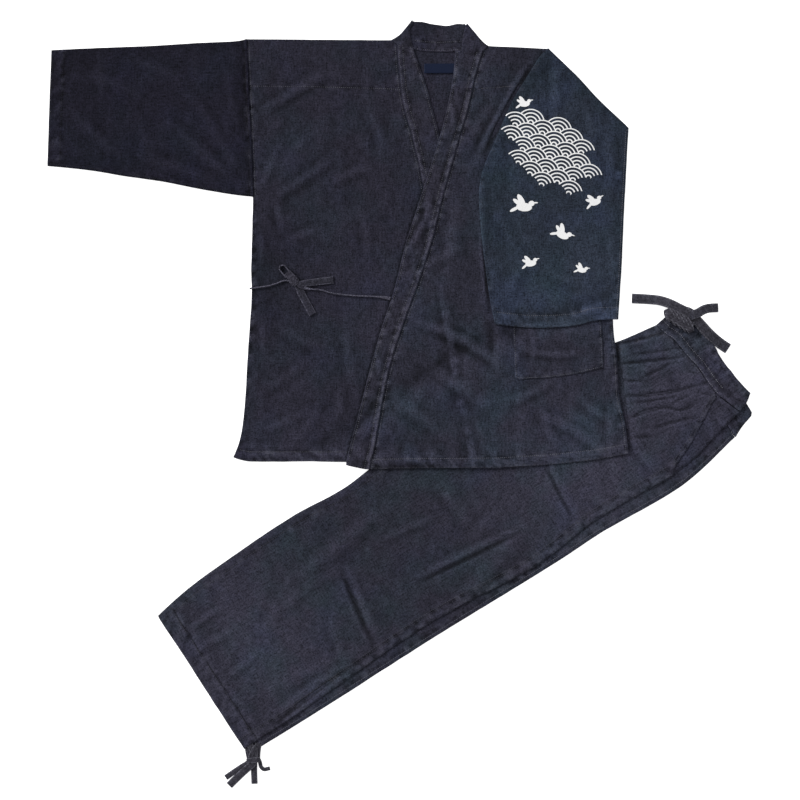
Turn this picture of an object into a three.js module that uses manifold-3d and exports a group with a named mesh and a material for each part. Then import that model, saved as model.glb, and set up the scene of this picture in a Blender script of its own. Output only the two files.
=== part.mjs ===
// A samue set in dark denim, laid out flat: a wrapped jacket over trousers folded in half lengthwise.
// Millimetres, +Z up. The cloth lies on z = 0 and is seen from above, with +X to the right and
// +Y from the jacket's hem towards its collar. Right and left in names are the wearer's.

import * as THREE from "three";
import { mergeVertices } from "three/addons/utils/BufferGeometryUtils.js";
import Module from "manifold-3d";

const wasm = await Module();
wasm.setup();

// Cloth thicknesses and the clearance that neighbouring pieces keep
const CLOTH = 1.0;
const DOUBLED = 2.0;
const GAP = 0.3;

// Facets that lie this close to one plane are joined
const FLAT_ENOUGH = 0.03;

// How far a lower piece's thickness shows through the pieces that lie on it, and the slope after it
const JACKET_REACH = 40;
const JACKET_SLOPE = 40;
const WAIST_REACH = 20;
const WAIST_SLOPE = 24;

// Spacing of the grid that carries the jacket's heights, and of the trousers' finer one
const JACKET_CELL = 28;
const LEG_CELL = 40;
const GATHER_CELL = 14;
const ACROSS_CELL = 5;

// Where the trousers lie: the middle of their hem, and the turn from it to their waist
const HEM_MIDDLE = { x: -320.9, y: -487.6 };
const TROUSER_TURN = THREE.MathUtils.degToRad(31.29);
const HEM_CASING = 28;

// Air left inside each sleeve, at its edges and in its middle
const SLEEVE_SLIT = 0.4;
const SLEEVE_PUFF = 2.6;
const SLEEVE_SLOPE = 55;

// The jacket's ties and the trousers' drawstring are flat strips of the same cloth
const STRIP = 2.0;
const TIE_RUN_WIDTH = 5;
const TIE_WIDTH = 13;
const DRAWSTRING_WIDTH = 16;

const COLOUR = {
  sleeve: 0x24242e,
  body: 0x2f303b,
  turned: 0x303a46,
  trousers: 0x363944,
  tie: 0x2a2b35,
  label: 0x1b2747,
};

// Outlines, each a row for one point of the edge

const SIDE_SEAM_RIGHT = [
  { x: -241.6, y: 309.7 },
  { x: -244.4, y: 190 },
  { x: -243.4, y: 147 },
  { x: -249.6, y: 56.1 },
  { x: -255.9, y: -40.4 },
  { x: -263.2, y: -91.6 },
  { x: -274.4, y: -120.1 },
];
const SIDE_SEAM_LEFT = [
  { x: 377, y: -113.4 },
  { x: 371.4, y: -65 },
  { x: 361.5, y: -19.6 },
  { x: 358.5, y: 40.1 },
  { x: 351.5, y: 105.4 },
  { x: 355, y: 230 },
  { x: 364, y: 340 },
  { x: 373, y: 424 },
];
const HEM_RIGHT_FRONT = [
  { x: -268.1, y: -122.9 },
  { x: -249.6, y: -127.2 },
  { x: -90.4, y: -127.2 },
  { x: 118, y: -129.6 },
];
const HEM_LEFT_FRONT = [
  { x: -50, y: -139.8 },
  { x: 24.6, y: -138 },
  { x: 158.1, y: -137.1 },
  { x: 249.2, y: -131.8 },
  { x: 330.8, y: -122.9 },
];
const HEM_BACK = [
  { x: -268, y: -117 },
  { x: 0, y: -121 },
  { x: 240, y: -119 },
  { x: 371, y: -109 },
];
const ARMHOLE_RIGHT = [
  { x: -252.6, y: 569.5 },
  { x: -249, y: 480 },
  { x: -244.5, y: 390 },
  { x: -241.6, y: 309.7 },
];
const SHOULDER_FOLD_LEFT = [
  { x: 373, y: 424 },
  { x: 330, y: 466.6 },
  { x: 293.7, y: 506.4 },
  { x: 244, y: 553.6 },
];
const NECK_POINT_RIGHT = { x: -13.2, y: 567.6 };
const NECK_POINT_LEFT = { x: 145.9, y: 557.9 };

// The left front's neckband: its free edge, and how wide the band lies there
const BAND_LEFT = [
  { y: 549, free: 91.8, wide: 44 },
  { y: 503, free: 87.8, wide: 35 },
  { y: 451, free: 77.7, wide: 33.5 },
  { y: 411, free: 66.8, wide: 32.5 },
  { y: 325, free: 40.3, wide: 34 },
  { y: 237, free: 11.7, wide: 41 },
  { y: 158, free: -8.1, wide: 35 },
  { y: 84.5, free: -32.2, wide: 32 },
  { y: 5, free: -53.6, wide: 31 },
  { y: -94.5, free: -79.2, wide: 39 },
  { y: -128, free: -88, wide: 39.5 },
];
// The right front's neckband, which goes under the left front below the crossing
const BAND_RIGHT = [
  { y: 560, free: 21.4, wide: 24 },
  { y: 547, free: 24.6, wide: 27 },
  { y: 523, free: 33.5, wide: 34 },
  { y: 487.7, free: 46, wide: 43 },
  { y: 448.6, free: 56.3, wide: 46 },
  { y: 410.7, free: 66.3, wide: 45 },
  { y: 324, free: 85, wide: 44.5 },
  { y: 100, free: 118, wide: 40 },
  { y: -129.8, free: 161, wide: 39 },
];
const NECKBAND_TURN_RIGHT = [
  { x: -13.2, y: 567.6 },
  { x: 0.7, y: 576.2 },
  { x: 12, y: 590 },
  { x: 20.8, y: 601.1 },
  { x: 23, y: 597 },
  { x: 16.5, y: 585 },
  { x: 18.3, y: 572.4 },
];
const NECKBAND_TURN_LEFT = [
  { x: 102.3, y: 550.3 },
  { x: 104.3, y: 572.4 },
  { x: 109.2, y: 592.5 },
  { x: 112, y: 594.6 },
  { x: 128.2, y: 574.9 },
  { x: 137, y: 564.8 },
  { x: 145.9, y: 557.9 },
];
const COLLAR_BACK_TOP = [
  { x: 8, y: 580 },
  { x: 23, y: 598.5 },
  { x: 39.8, y: 598.3 },
  { x: 48.7, y: 595.2 },
  { x: 68.8, y: 592 },
  { x: 81.5, y: 591.4 },
  { x: 94.1, y: 595.2 },
  { x: 107, y: 594.2 },
  { x: 117, y: 583 },
];
const NECKLINE_BACK = [
  { x: 130, y: 557 },
  { x: 104, y: 551 },
  { x: 66, y: 549 },
  { x: 27, y: 552 },
  { x: 0, y: 564 },
];

// The sleeve that lies out to the side
const SLEEVE_OUT_TOP = [
  { x: -252.9, y: 569.5 },
  { x: -273, y: 566 },
  { x: -338, y: 562.8 },
  { x: -415, y: 558.2 },
  { x: -556.9, y: 552.6 },
  { x: -573.9, y: 551.1 },
];
const SLEEVE_OUT_BOTTOM = [
  { x: -580.8, y: 360.2 },
  { x: -511.5, y: 353.1 },
  { x: -451.8, y: 343.2 },
  { x: -392, y: 334.6 },
  { x: -349.5, y: 326.2 },
  { x: -275.6, y: 313.3 },
  { x: -241.9, y: 309.7 },
];

// The sleeve that is folded down over the front, from its fold at the shoulder round to its cuff
const SLEEVE_DOWN_RIGHT = [
  { x: 245, y: 554.4 },
  { x: 294.5, y: 506.6 },
  { x: 330.8, y: 466.8 },
  { x: 377.6, y: 423 },
  { x: 375.7, y: 395.2 },
  { x: 370.8, y: 295.7 },
  { x: 365.6, y: 184.8 },
  { x: 359.7, y: 106.5 },
];
const SLEEVE_DOWN_CUFF = [
  { x: 351.5, y: 106.9 },
  { x: 320.3, y: 105.4 },
  { x: 291.9, y: 96.9 },
  { x: 249.2, y: 93.6 },
  { x: 203.8, y: 94.1 },
  { x: 156.9, y: 99.2 },
];
const SLEEVE_DOWN_LEFT = [
  { x: 149.8, y: 131.2 },
  { x: 138.4, y: 213.2 },
  { x: 130.7, y: 301.3 },
  { x: 135.6, y: 349.6 },
  { x: 158.2, y: 403.6 },
  { x: 183.8, y: 463.3 },
  { x: 209.4, y: 505.9 },
  { x: 232.2, y: 542.9 },
];

const POCKET = [
  { x: 184, y: 160 },
  { x: 186.8, y: 80 },
  { x: 189.6, y: 11.7 },
  { x: 196.7, y: 7.4 },
  { x: 257.7, y: 11.7 },
  { x: 291.9, y: 17.3 },
  { x: 335.8, y: 27.2 },
  { x: 334.5, y: 62.9 },
  { x: 329, y: 164 },
];
const LABEL = { left: 40.4, right: 92.2, low: 513, high: 529 };

// The trousers' edges in their own frame: along runs from hem to waist, up is the crotch side
const INSEAM_EDGE = [
  { along: -11, up: 131 },
  { along: 58.6, up: 144 },
  { along: 152.8, up: 151.4 },
  { along: 271, up: 156.3 },
  { along: 357, up: 150.4 },
  { along: 410.4, up: 156.4 },
  { along: 560, up: 166 },
  { along: 640, up: 168 },
  { along: 720, up: 154 },
  { along: 867.3, up: 124.1 },
];
const LEFT_SIDE_EDGE = [
  { along: 834.5, up: -111.6 },
  { along: 690, up: -108.1 },
  { along: 560.2, up: -122.2 },
  { along: 366.7, up: -111.5 },
  { along: 106.7, up: -126.2 },
  { along: 30, up: -127.5 },
  { along: -3, up: -130 },
];
const LEFT_HIP_EDGE = [
  { along: 983.2, up: -79.4 },
  { along: 931.5, up: -91.6 },
  { along: 885.5, up: -105.7 },
];
const RIGHT_SIDE_EDGE = [
  { along: 954.6, up: -111.4 },
  { along: 872.4, up: -130.2 },
  { along: 805.6, up: -135.6 },
  { along: 690.3, up: -131.5 },
  { along: 584.5, up: -135 },
  { along: 351.6, up: -136.3 },
  { along: 136.3, up: -141 },
  { along: 23, up: -141.8 },
  { along: 2, up: -128 },
];
const WAIST_SEAM_LEFT = [
  { along: 939.6, up: 114.2 },
  { along: 944.3, up: 94.9 },
  { along: 952.1, up: 78 },
  { along: 956, up: 46.5 },
  { along: 961.4, up: 20.8 },
  { along: 963, up: -9.8 },
  { along: 966.3, up: -36 },
];
const POCKET_OPENING = [
  { along: 962, up: -38 },
  { along: 944.1, up: -48.5 },
  { along: 891, up: -81.1 },
  { along: 845, up: -101.5 },
];
const POCKET_FACING = [
  { along: 965.6, up: -38 },
  { along: 962, up: -16 },
  { along: 935, up: -28 },
  { along: 880, up: -62 },
  { along: 822, up: -88 },
  { along: 822, up: -110.5 },
  { along: 885.5, up: -105.3 },
  { along: 931.5, up: -91.2 },
  { along: 982, up: -79.6 },
];
const WAIST_EDGE_LEFT = [
  { along: 983.2, up: -78.4 },
  { along: 998.5, up: -73.8 },
  { along: 1009.9, up: -66.6 },
  { along: 1013.8, up: -62 },
  { along: 1009.4, up: -42 },
  { along: 1005.5, up: -26.1 },
  { along: 1005.6, up: -16.5 },
  { along: 1001.8, up: 9 },
  { along: 1004.4, up: 32.5 },
  { along: 998, up: 59.9 },
  { along: 983.7, up: 122.3 },
];
const WAIST_SEAM_RIGHT = [
  { along: 937, up: 113.5 },
  { along: 950, up: 20 },
  { along: 955, up: -111 },
];
const WAIST_EDGE_RIGHT = [
  { along: 957, up: -111.6 },
  { along: 965.4, up: -105.2 },
  { along: 995.9, up: -95.6 },
  { along: 999.9, up: -91 },
  { along: 1001, up: 0 },
  { along: 993, up: 60 },
  { along: 981, up: 121 },
];

// Soft folds in the jacket: a ridge from one point to another
const BODY_FOLDS = [
  { fromX: -228, fromY: 320, toX: -120, toY: 440, high: 2.2, half: 40 },
  { fromX: -150, fromY: 250, toX: -40, toY: 280, high: 1.6, half: 36 },
  { fromX: -206, fromY: -30, toX: -120, toY: 36, high: 1.6, half: 36 },
];
const LEFT_FRONT_FOLDS = [
  { fromX: 108, fromY: 330, toX: 62, toY: 130, high: 2.0, half: 38 },
  { fromX: 60, fromY: 40, toX: 190, toY: -60, high: 2.2, half: 44 },
  { fromX: 270, fromY: -30, toX: 336, toY: -96, high: 1.6, half: 36 },
];

// The waist's gathers: where each leaves the waistband seam, where it dies out, and its size
const GATHERS = [
  { up: 104, run: 74, drift: 18, high: 2.6, half: 8.5 },
  { up: 88, run: 96, drift: 26, high: 3.2, half: 9 },
  { up: 70, run: 104, drift: 30, high: 3.4, half: 9 },
  { up: 53, run: 78, drift: 26, high: 3.0, half: 8.5 },
  { up: 38, run: 108, drift: 34, high: 3.6, half: 9 },
  { up: 21, run: 66, drift: 22, high: 2.8, half: 8 },
  { up: 6, run: 112, drift: 36, high: 3.6, half: 9 },
  { up: -10, run: 70, drift: 20, high: 2.8, half: 8.5 },
  { up: -26, run: 98, drift: 30, high: 3.0, half: 8.5 },
];
// Long soft folds down the upper leg
const LEG_FOLDS = [
  { fromX: 400, fromY: -118, toX: 600, toY: -46, high: 2.2, half: 17 },
  { fromX: 180, fromY: 60, toX: 420, toY: 96, high: 1.8, half: 20 },
  { fromX: 672, fromY: 20, toX: 668, toY: -96, high: 2.0, half: 30 },
  { fromX: 60, fromY: -60, toX: 250, toY: -88, high: 1.6, half: 16 },
];
const WAISTBAND_WAVE = { pitch: 18, high: 0.9 };

// Lines through table rows, as points of the plane
const jacketPoint = (row) => new THREE.Vector2(row.x, row.y);
const legPoint = (row) => new THREE.Vector2(row.along, row.up);
const straight = (rows, point = jacketPoint) => rows.map(point);

// A smooth edge through table rows, with a few points between each two
function curved(rows, point = jacketPoint, between = 3) {
  return new THREE.SplineCurve(rows.map(point)).getPoints((rows.length - 1) * between);
}

const moved = (points, dx, dy) => points.map((p) => new THREE.Vector2(p.x + dx, p.y + dy));
const reversed = (points) => [...points].reverse();

// An outline without the doubled points where two edges meet
function outlineOf(...edges) {
  const outline = [];
  for (const point of edges.flat()) {
    const last = outline[outline.length - 1];
    if (!last || last.distanceTo(point) > GAP) outline.push(point);
  }
  if (outline[outline.length - 1].distanceTo(outline[0]) <= GAP) outline.pop();
  return outline;
}

// Height functions

function distanceOutside(outline, x, y) {
  let inside = false;
  let nearest = Infinity;
  for (let i = 0, j = outline.length - 1; i < outline.length; j = i, i += 1) {
    const a = outline[i];
    const b = outline[j];
    if (a.y > y !== b.y > y && x < ((b.x - a.x) * (y - a.y)) / (b.y - a.y) + a.x) inside = !inside;
    nearest = Math.min(nearest, distanceToLine(a.x, a.y, b.x, b.y, x, y).away);
  }
  return inside ? -nearest : nearest;
}

function distanceToLine(ax, ay, bx, by, x, y) {
  const squared = (bx - ax) ** 2 + (by - ay) ** 2;
  const share = squared === 0 ? 0 : ((x - ax) * (bx - ax) + (y - ay) * (by - ay)) / squared;
  const along = THREE.MathUtils.clamp(share, 0, 1);
  return { along, away: Math.hypot(x - ax - along * (bx - ax), y - ay - along * (by - ay)) };
}

// The surface left by pieces laid on an earlier one: full thickness on and near each, then a slope
function laidOn(surface, pieces, reach, slope) {
  return (x, y) => {
    let lift = 0;
    for (const { outline, thick } of pieces) {
      const away = distanceOutside(outline, x, y);
      const share = 1 - THREE.MathUtils.smoothstep(away, reach, reach + slope);
      lift = Math.max(lift, (thick + GAP) * share);
    }
    return surface(x, y) + lift;
  };
}

// A surface with soft ridges, each highest in its middle
function folded(surface, folds) {
  return (x, y) => {
    let height = surface(x, y);
    for (const fold of folds) {
      const { along, away } = distanceToLine(fold.fromX, fold.fromY, fold.toX, fold.toY, x, y);
      const across = Math.max(0, 1 - away / fold.half);
      height += fold.high * THREE.MathUtils.smoothstep(across, 0, 1) * Math.sin(Math.PI * along);
    }
    return height;
  };
}

// Solids

function solid(geometry) {
  geometry.deleteAttribute("normal");
  geometry.deleteAttribute("uv");
  const merged = mergeVertices(geometry, 1e-4);
  return new wasm.Manifold(
    new wasm.Mesh({
      numProp: 3,
      vertProperties: merged.getAttribute("position").array,
      triVerts: new Uint32Array(merged.index.array),
    }),
  );
}

// A block of the outline's shape that reaches above and below every piece
const BLOCK_HEIGHT = 80;
function block(outline) {
  const geometry = new THREE.ExtrudeGeometry(new THREE.Shape(outline), {
    depth: BLOCK_HEIGHT,
    bevelEnabled: false,
  });
  return solid(geometry.translate(0, 0, -BLOCK_HEIGHT / 2));
}

function spaced(from, to, step) {
  const count = Math.round((to - from) / step);
  return Array.from({ length: count + 1 }, (_, i) => from + ((to - from) * i) / count);
}

// The grid lines that cover a stretch, with one spare line on each side
function covering(lines, low, high) {
  const first = lines.findLastIndex((line) => line < low - GAP);
  const last = lines.findIndex((line) => line > high + GAP);
  return lines.slice(first, last + 1);
}

// Cloth between two height functions: a slab over the grid, cut to the outline
function slab(grid, outline, under, over) {
  const box = new THREE.Box2().setFromPoints(outline);
  const xs = covering(grid.xs, box.min.x, box.max.x);
  const ys = covering(grid.ys, box.min.y, box.max.y);
  const positions = [];
  for (const height of [under, over]) {
    for (const y of ys) {
      for (const x of xs) positions.push(x, y, height(x, y));
    }
  }
  const wide = xs.length;
  const upper = wide * ys.length;
  const at = (i, j) => j * wide + i;
  const faces = [];
  for (let j = 0; j < ys.length - 1; j += 1) {
    for (let i = 0; i < wide - 1; i += 1) {
      const [a, b, c, d] = [at(i, j), at(i + 1, j), at(i, j + 1), at(i + 1, j + 1)];
      faces.push(a, d, b, a, c, d);
      faces.push(upper + a, upper + b, upper + d, upper + a, upper + d, upper + c);
    }
  }
  const wall = (a, b) => faces.push(a, b, upper + b, a, upper + b, upper + a);
  const far = ys.length - 1;
  for (let i = 0; i < wide - 1; i += 1) {
    wall(at(i, 0), at(i + 1, 0));
    wall(at(i + 1, far), at(i, far));
  }
  for (let j = 0; j < far; j += 1) {
    wall(at(0, j + 1), at(0, j));
    wall(at(wide - 1, j), at(wide - 1, j + 1));
  }
  const sheet = new wasm.Manifold(
    new wasm.Mesh({
      numProp: 3,
      vertProperties: new Float32Array(positions),
      triVerts: new Uint32Array(faces),
    }),
  );
  return sheet.intersect(block(outline)).simplify(FLAT_ENOUGH);
}

function geometryOf(body) {
  const { vertProperties, triVerts } = body.getMesh();
  const geometry = new THREE.BufferGeometry();
  geometry.setAttribute("position", new THREE.BufferAttribute(vertProperties, 3));
  geometry.setIndex(new THREE.BufferAttribute(triVerts, 1));
  geometry.computeVertexNormals();
  return geometry;
}

function clothMesh(name, geometry, color) {
  const material = new THREE.MeshStandardMaterial({ color, roughness: 0.92, metalness: 0 });
  const mesh = new THREE.Mesh(geometry, material);
  mesh.name = name;
  return mesh;
}

// One thickness of cloth laid on a surface
function panel(name, grid, outline, surface, thick, color) {
  const body = slab(grid, outline, surface, (x, y) => surface(x, y) + thick);
  return clothMesh(name, geometryOf(body), color);
}

// A flattened tube of cloth, open where its hollow runs past the outline
function flatTube(name, grid, outline, hollow, surface, color) {
  const puff = (x, y) => {
    const inward = Math.max(0, -distanceOutside(hollow, x, y));
    return SLEEVE_SLIT + SLEEVE_PUFF * THREE.MathUtils.smoothstep(inward, 0, SLEEVE_SLOPE);
  };
  const inner = (x, y) => surface(x, y) + CLOTH;
  const inside = (x, y) => inner(x, y) + puff(x, y);
  const outer = (x, y) => inside(x, y) + CLOTH;
  const hollowBody = slab(grid, hollow, inner, inside);
  const body = slab(grid, outline, surface, outer).subtract(hollowBody);
  return clothMesh(name, geometryOf(body), color);
}

const floor = () => 0;
const grid = (xs, ys) => ({ xs, ys });

// Trousers

const trouserGrid = grid(
  [
    ...spaced(-54, -20, 17),
    0,
    HEM_CASING,
    HEM_CASING + 4,
    ...spaced(60, 820, LEG_CELL),
    ...spaced(834, 1030, GATHER_CELL),
  ],
  spaced(-170, 190, ACROSS_CELL),
);

const inseam = curved(INSEAM_EDGE, legPoint);
const leftSide = curved(LEFT_SIDE_EDGE, legPoint);
const rightSide = curved(RIGHT_SIDE_EDGE.slice(0, -1), legPoint);
const rightHemCorner = straight(RIGHT_SIDE_EDGE.slice(-1), legPoint);
const waistSeamLeft = curved(WAIST_SEAM_LEFT, legPoint);
const waistSeamRight = straight(WAIST_SEAM_RIGHT, legPoint);
const opening = straight(POCKET_OPENING, legPoint);
const hipLeft = straight(LEFT_HIP_EDGE, legPoint);

// The waistband's corner beyond the pocket, where the back of the trousers shows no seam
const seamEnd = [new THREE.Vector2(983.2, -79.4)];

const outlines = {
  rightLeg: outlineOf(inseam, moved(waistSeamRight, -GAP, 0), rightSide, rightHemCorner),
  rightBand: outlineOf(waistSeamRight, straight(WAIST_EDGE_RIGHT, legPoint)),
  leftBack: outlineOf(
    moved(inseam, 0, -1),
    moved(waistSeamLeft, -GAP, 0),
    moved(seamEnd, -GAP, 0),
    moved(hipLeft.slice(1), 0, -1),
    moved(leftSide, 0, -1),
  ),
  leftBand: outlineOf(waistSeamLeft, straight(WAIST_EDGE_LEFT, legPoint)),
  leftFront: outlineOf(moved(inseam, 0, -2), moved(waistSeamLeft.slice(0, -1), -GAP, 0), opening, leftSide),
  facing: straight(POCKET_FACING, legPoint),
};

const onWaist = (surface, pieces) => laidOn(surface, pieces, WAIST_REACH, WAIST_SLOPE);
const cloth = (outline) => ({ outline, thick: CLOTH });
const doubled = (outline) => ({ outline, thick: DOUBLED });

const rightLayer = [cloth(outlines.rightLeg), doubled(outlines.rightBand)];
const leftLayer = [cloth(outlines.leftBack), doubled(outlines.leftBand)];
const onRightFront = onWaist(floor, rightLayer);
const onRightBack = onWaist(onRightFront, rightLayer);
const onLeftBack = onWaist(onRightBack, leftLayer);
const onFacing = onWaist(onLeftBack, [cloth(outlines.facing)]);

// The upper leg's own folds: gathers that die out away from the waistband, and long soft ones
function gathered(surface) {
  const seam = WAIST_SEAM_LEFT;
  const seamAlong = (up) => {
    const next = seam.findIndex((row) => row.up < up);
    const [a, b] = [seam[Math.max(next - 1, 0)], seam[next < 0 ? seam.length - 1 : next]];
    const share = a === b ? 0 : (a.up - up) / (a.up - b.up);
    return THREE.MathUtils.lerp(a.along, b.along, share);
  };
  return (x, y) => {
    let height = surface(x, y);
    for (const fold of GATHERS) {
      const from = seamAlong(fold.up);
      const line = distanceToLine(from, fold.up, from - fold.run, fold.up + fold.drift, x, y);
      const across = Math.max(0, 1 - line.away / fold.half);
      height += fold.high * THREE.MathUtils.smoothstep(across, 0, 1) * (1 - line.along) ** 0.7;
    }
    return height;
  };
}
const leftFrontUnder = folded(gathered(onFacing), LEG_FOLDS);
const leftFrontOver = (x, y) => leftFrontUnder(x, y) + (x <= HEM_CASING ? DOUBLED : CLOTH);
const elastic = (x, y) => {
  const turn = (2 * Math.PI * y) / WAISTBAND_WAVE.pitch;
  return WAISTBAND_WAVE.high * (0.5 + 0.5 * Math.cos(turn));
};
const leftBandOver = (x, y) => onLeftBack(x, y) + DOUBLED + elastic(x, y);

function trousers() {
  const group = new THREE.Group();
  const leg = (name, outline, surface) =>
    panel(name, trouserGrid, outline, surface, CLOTH, COLOUR.trousers);
  const band = (name, outline, surface) =>
    panel(name, trouserGrid, outline, surface, DOUBLED, COLOUR.trousers);
  group.add(
    leg("trousers_right_front", outlines.rightLeg, floor),
    band("waistband_right_front", outlines.rightBand, floor),
    leg("trousers_right_back", outlines.rightLeg, onRightFront),
    band("waistband_right_back", outlines.rightBand, onRightFront),
    leg("trousers_left_back", outlines.leftBack, onRightBack),
    band("waistband_left_back", outlines.leftBand, onRightBack),
    leg("pocket_facing_left", outlines.facing, onLeftBack),
    clothMesh(
      "trousers_left_front",
      geometryOf(slab(trouserGrid, outlines.leftFront, leftFrontUnder, leftFrontOver)),
      COLOUR.trousers,
    ),
    clothMesh(
      "waistband_left_front",
      geometryOf(slab(trouserGrid, outlines.leftBand, onLeftBack, leftBandOver)),
      COLOUR.trousers,
    ),
  );
  group.position.set(HEM_MIDDLE.x, HEM_MIDDLE.y, 0);
  group.rotation.z = TROUSER_TURN;
  return group;
}

// Jacket

const jacketGrid = grid(spaced(-616, 420, JACKET_CELL), spaced(-168, 644, JACKET_CELL));

const turn = new THREE.Vector2(Math.cos(TROUSER_TURN), Math.sin(TROUSER_TURN));
const placed = (points) =>
  points.map(
    (p) =>
      new THREE.Vector2(
        HEM_MIDDLE.x + p.x * turn.x - p.y * turn.y,
        HEM_MIDDLE.y + p.x * turn.y + p.y * turn.x,
      ),
  );
const legLayers = [0, 1, 2, 3].map(() => cloth(placed(outlines.rightLeg)));
const onTrousers = legLayers.reduce(
  (surface, piece) => laidOn(surface, [piece], JACKET_REACH, JACKET_SLOPE),
  floor,
);
// The long leg folds and the gathers' ends keep the jacket this much higher
const LEG_FOLD_ROOM = 0.6;
const ground = (x, y) => onTrousers(x, y) * (1 + LEG_FOLD_ROOM / (4 * (CLOTH + GAP)));

const bandEdges = (rows) => ({
  free: curved(rows, (row) => new THREE.Vector2(row.free, row.y)),
  seamRight: curved(rows, (row) => new THREE.Vector2(row.free + row.wide, row.y)),
  seamLeft: curved(rows, (row) => new THREE.Vector2(row.free - row.wide, row.y)),
});
const leftBandEdges = bandEdges(BAND_LEFT);
const rightBandEdges = bandEdges(BAND_RIGHT);

const sideRight = curved(SIDE_SEAM_RIGHT);
const sideLeft = curved(SIDE_SEAM_LEFT);
const armholeRight = curved(ARMHOLE_RIGHT);
const foldLeft = curved(SHOULDER_FOLD_LEFT);
const necklineBack = curved(NECKLINE_BACK);
const neckRight = jacketPoint(NECK_POINT_RIGHT);
const neckLeft = jacketPoint(NECK_POINT_LEFT);
const bodyLeftEdge = outlineOf(sideLeft, foldLeft);

const jacket = {
  back: outlineOf(
    armholeRight,
    sideRight.slice(0, -1),
    straight(HEM_BACK),
    moved(bodyLeftEdge.slice(1), -1.2, -0.6),
    [new THREE.Vector2(neckLeft.x, neckLeft.y - GAP)],
    moved(necklineBack, 0, -GAP),
    [new THREE.Vector2(neckRight.x, neckRight.y - GAP)],
  ),
  collarBack: outlineOf(straight(COLLAR_BACK_TOP), necklineBack),
  frontRight: outlineOf(
    armholeRight,
    sideRight,
    straight(HEM_RIGHT_FRONT),
    moved(reversed(rightBandEdges.seamLeft), -GAP, 0),
    [new THREE.Vector2(neckRight.x - GAP, neckRight.y)],
  ),
  bandRight: outlineOf(
    reversed(rightBandEdges.seamLeft),
    straight(NECKBAND_TURN_RIGHT),
    rightBandEdges.free,
  ),
  frontLeft: outlineOf(
    moved(leftBandEdges.seamRight, GAP, 0),
    straight(HEM_LEFT_FRONT).slice(1),
    bodyLeftEdge,
    [new THREE.Vector2(neckLeft.x + GAP, neckLeft.y)],
  ),
  bandLeft: outlineOf(
    reversed(leftBandEdges.free),
    straight(NECKBAND_TURN_LEFT),
    leftBandEdges.seamRight,
    straight([
      { x: -50.5, y: -139.8 },
      { x: -58, y: -139.6 },
      { x: -87.8, y: -132.8 },
    ]),
  ),
  label: straight([
    { x: LABEL.left, y: LABEL.low },
    { x: LABEL.right, y: LABEL.low },
    { x: LABEL.right, y: LABEL.high },
    { x: LABEL.left, y: LABEL.high },
  ]),
  pocket: straight(POCKET),
  sleeveOut: outlineOf(
    curved(SLEEVE_OUT_TOP),
    curved(SLEEVE_OUT_BOTTOM),
    moved(reversed(armholeRight).slice(1), -GAP, 0),
  ),
  sleeveDown: outlineOf(straight(SLEEVE_DOWN_RIGHT), curved(SLEEVE_DOWN_CUFF), curved(SLEEVE_DOWN_LEFT)),
};

// Hollows of the flattened sleeves: a wall inside each folded edge, and out past each open end
const PAST_END = 12;
const EDGE_WALL = 2.5;
const hollows = {
  sleeveOut: outlineOf(
    [new THREE.Vector2(-252.6 + PAST_END, 569.5 - EDGE_WALL)],
    moved(curved(SLEEVE_OUT_TOP), 0, -EDGE_WALL),
    [new THREE.Vector2(-574 - PAST_END, 551 - EDGE_WALL)],
    [new THREE.Vector2(-581 - PAST_END, 361 + EDGE_WALL)],
    moved(curved(SLEEVE_OUT_BOTTOM), 0, EDGE_WALL),
    [new THREE.Vector2(-242 + PAST_END, 309.7 + EDGE_WALL)],
  ),
  sleeveDown: outlineOf(
    straight([
      { x: 243, y: 548 },
      { x: 292, y: 502 },
      { x: 327, y: 464 },
      { x: 372, y: 421.5 },
      { x: 368, y: 295 },
      { x: 363, y: 185 },
      { x: 357, y: 110 },
      { x: 352, y: 95 - PAST_END },
      { x: 162, y: 92 - PAST_END },
      { x: 153, y: 131 },
      { x: 141, y: 213 },
      { x: 133.7, y: 302 },
      { x: 138.4, y: 349 },
      { x: 186, y: 461 },
      { x: 233, y: 539 },
    ]),
  ),
};

const onJacket = (surface, pieces) => laidOn(surface, pieces, JACKET_REACH, JACKET_SLOPE);
const onBack = onJacket(ground, [cloth(jacket.back), doubled(jacket.collarBack)]);
const frontRightUnder = folded(onBack, BODY_FOLDS);
const onFrontRight = onJacket(frontRightUnder, [
  cloth(jacket.frontRight),
  doubled(jacket.bandRight),
  cloth(jacket.label),
]);
const frontLeftUnder = folded(onFrontRight, LEFT_FRONT_FOLDS);
const onFrontLeft = onJacket(frontLeftUnder, [cloth(jacket.frontLeft), doubled(jacket.bandLeft)]);
const onPocket = onJacket(onFrontLeft, [cloth(jacket.pocket)]);

function jacketPieces() {
  const group = new THREE.Group();
  const piece = (name, outline, surface, thick, color = COLOUR.body) =>
    panel(name, jacketGrid, outline, surface, thick, color);
  group.add(
    piece("jacket_back", jacket.back, ground, CLOTH),
    piece("collar_back", jacket.collarBack, ground, DOUBLED),
    piece("jacket_front_right", jacket.frontRight, frontRightUnder, CLOTH),
    piece("neckband_right", jacket.bandRight, frontRightUnder, DOUBLED),
    piece("neck_label", jacket.label, onBack, CLOTH, COLOUR.label),
    piece("jacket_front_left", jacket.frontLeft, frontLeftUnder, CLOTH),
    piece("neckband_left", jacket.bandLeft, frontLeftUnder, DOUBLED),
    piece("patch_pocket", jacket.pocket, onFrontLeft, CLOTH),
    flatTube(
      "sleeve_right",
      jacketGrid,
      jacket.sleeveOut,
      hollows.sleeveOut,
      floor,
      COLOUR.sleeve,
    ),
    flatTube(
      "sleeve_left",
      jacketGrid,
      jacket.sleeveDown,
      hollows.sleeveDown,
      onPocket,
      COLOUR.turned,
    ),
  );
  return group;
}

// Ties: flat strips that keep their width level along a route

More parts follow.
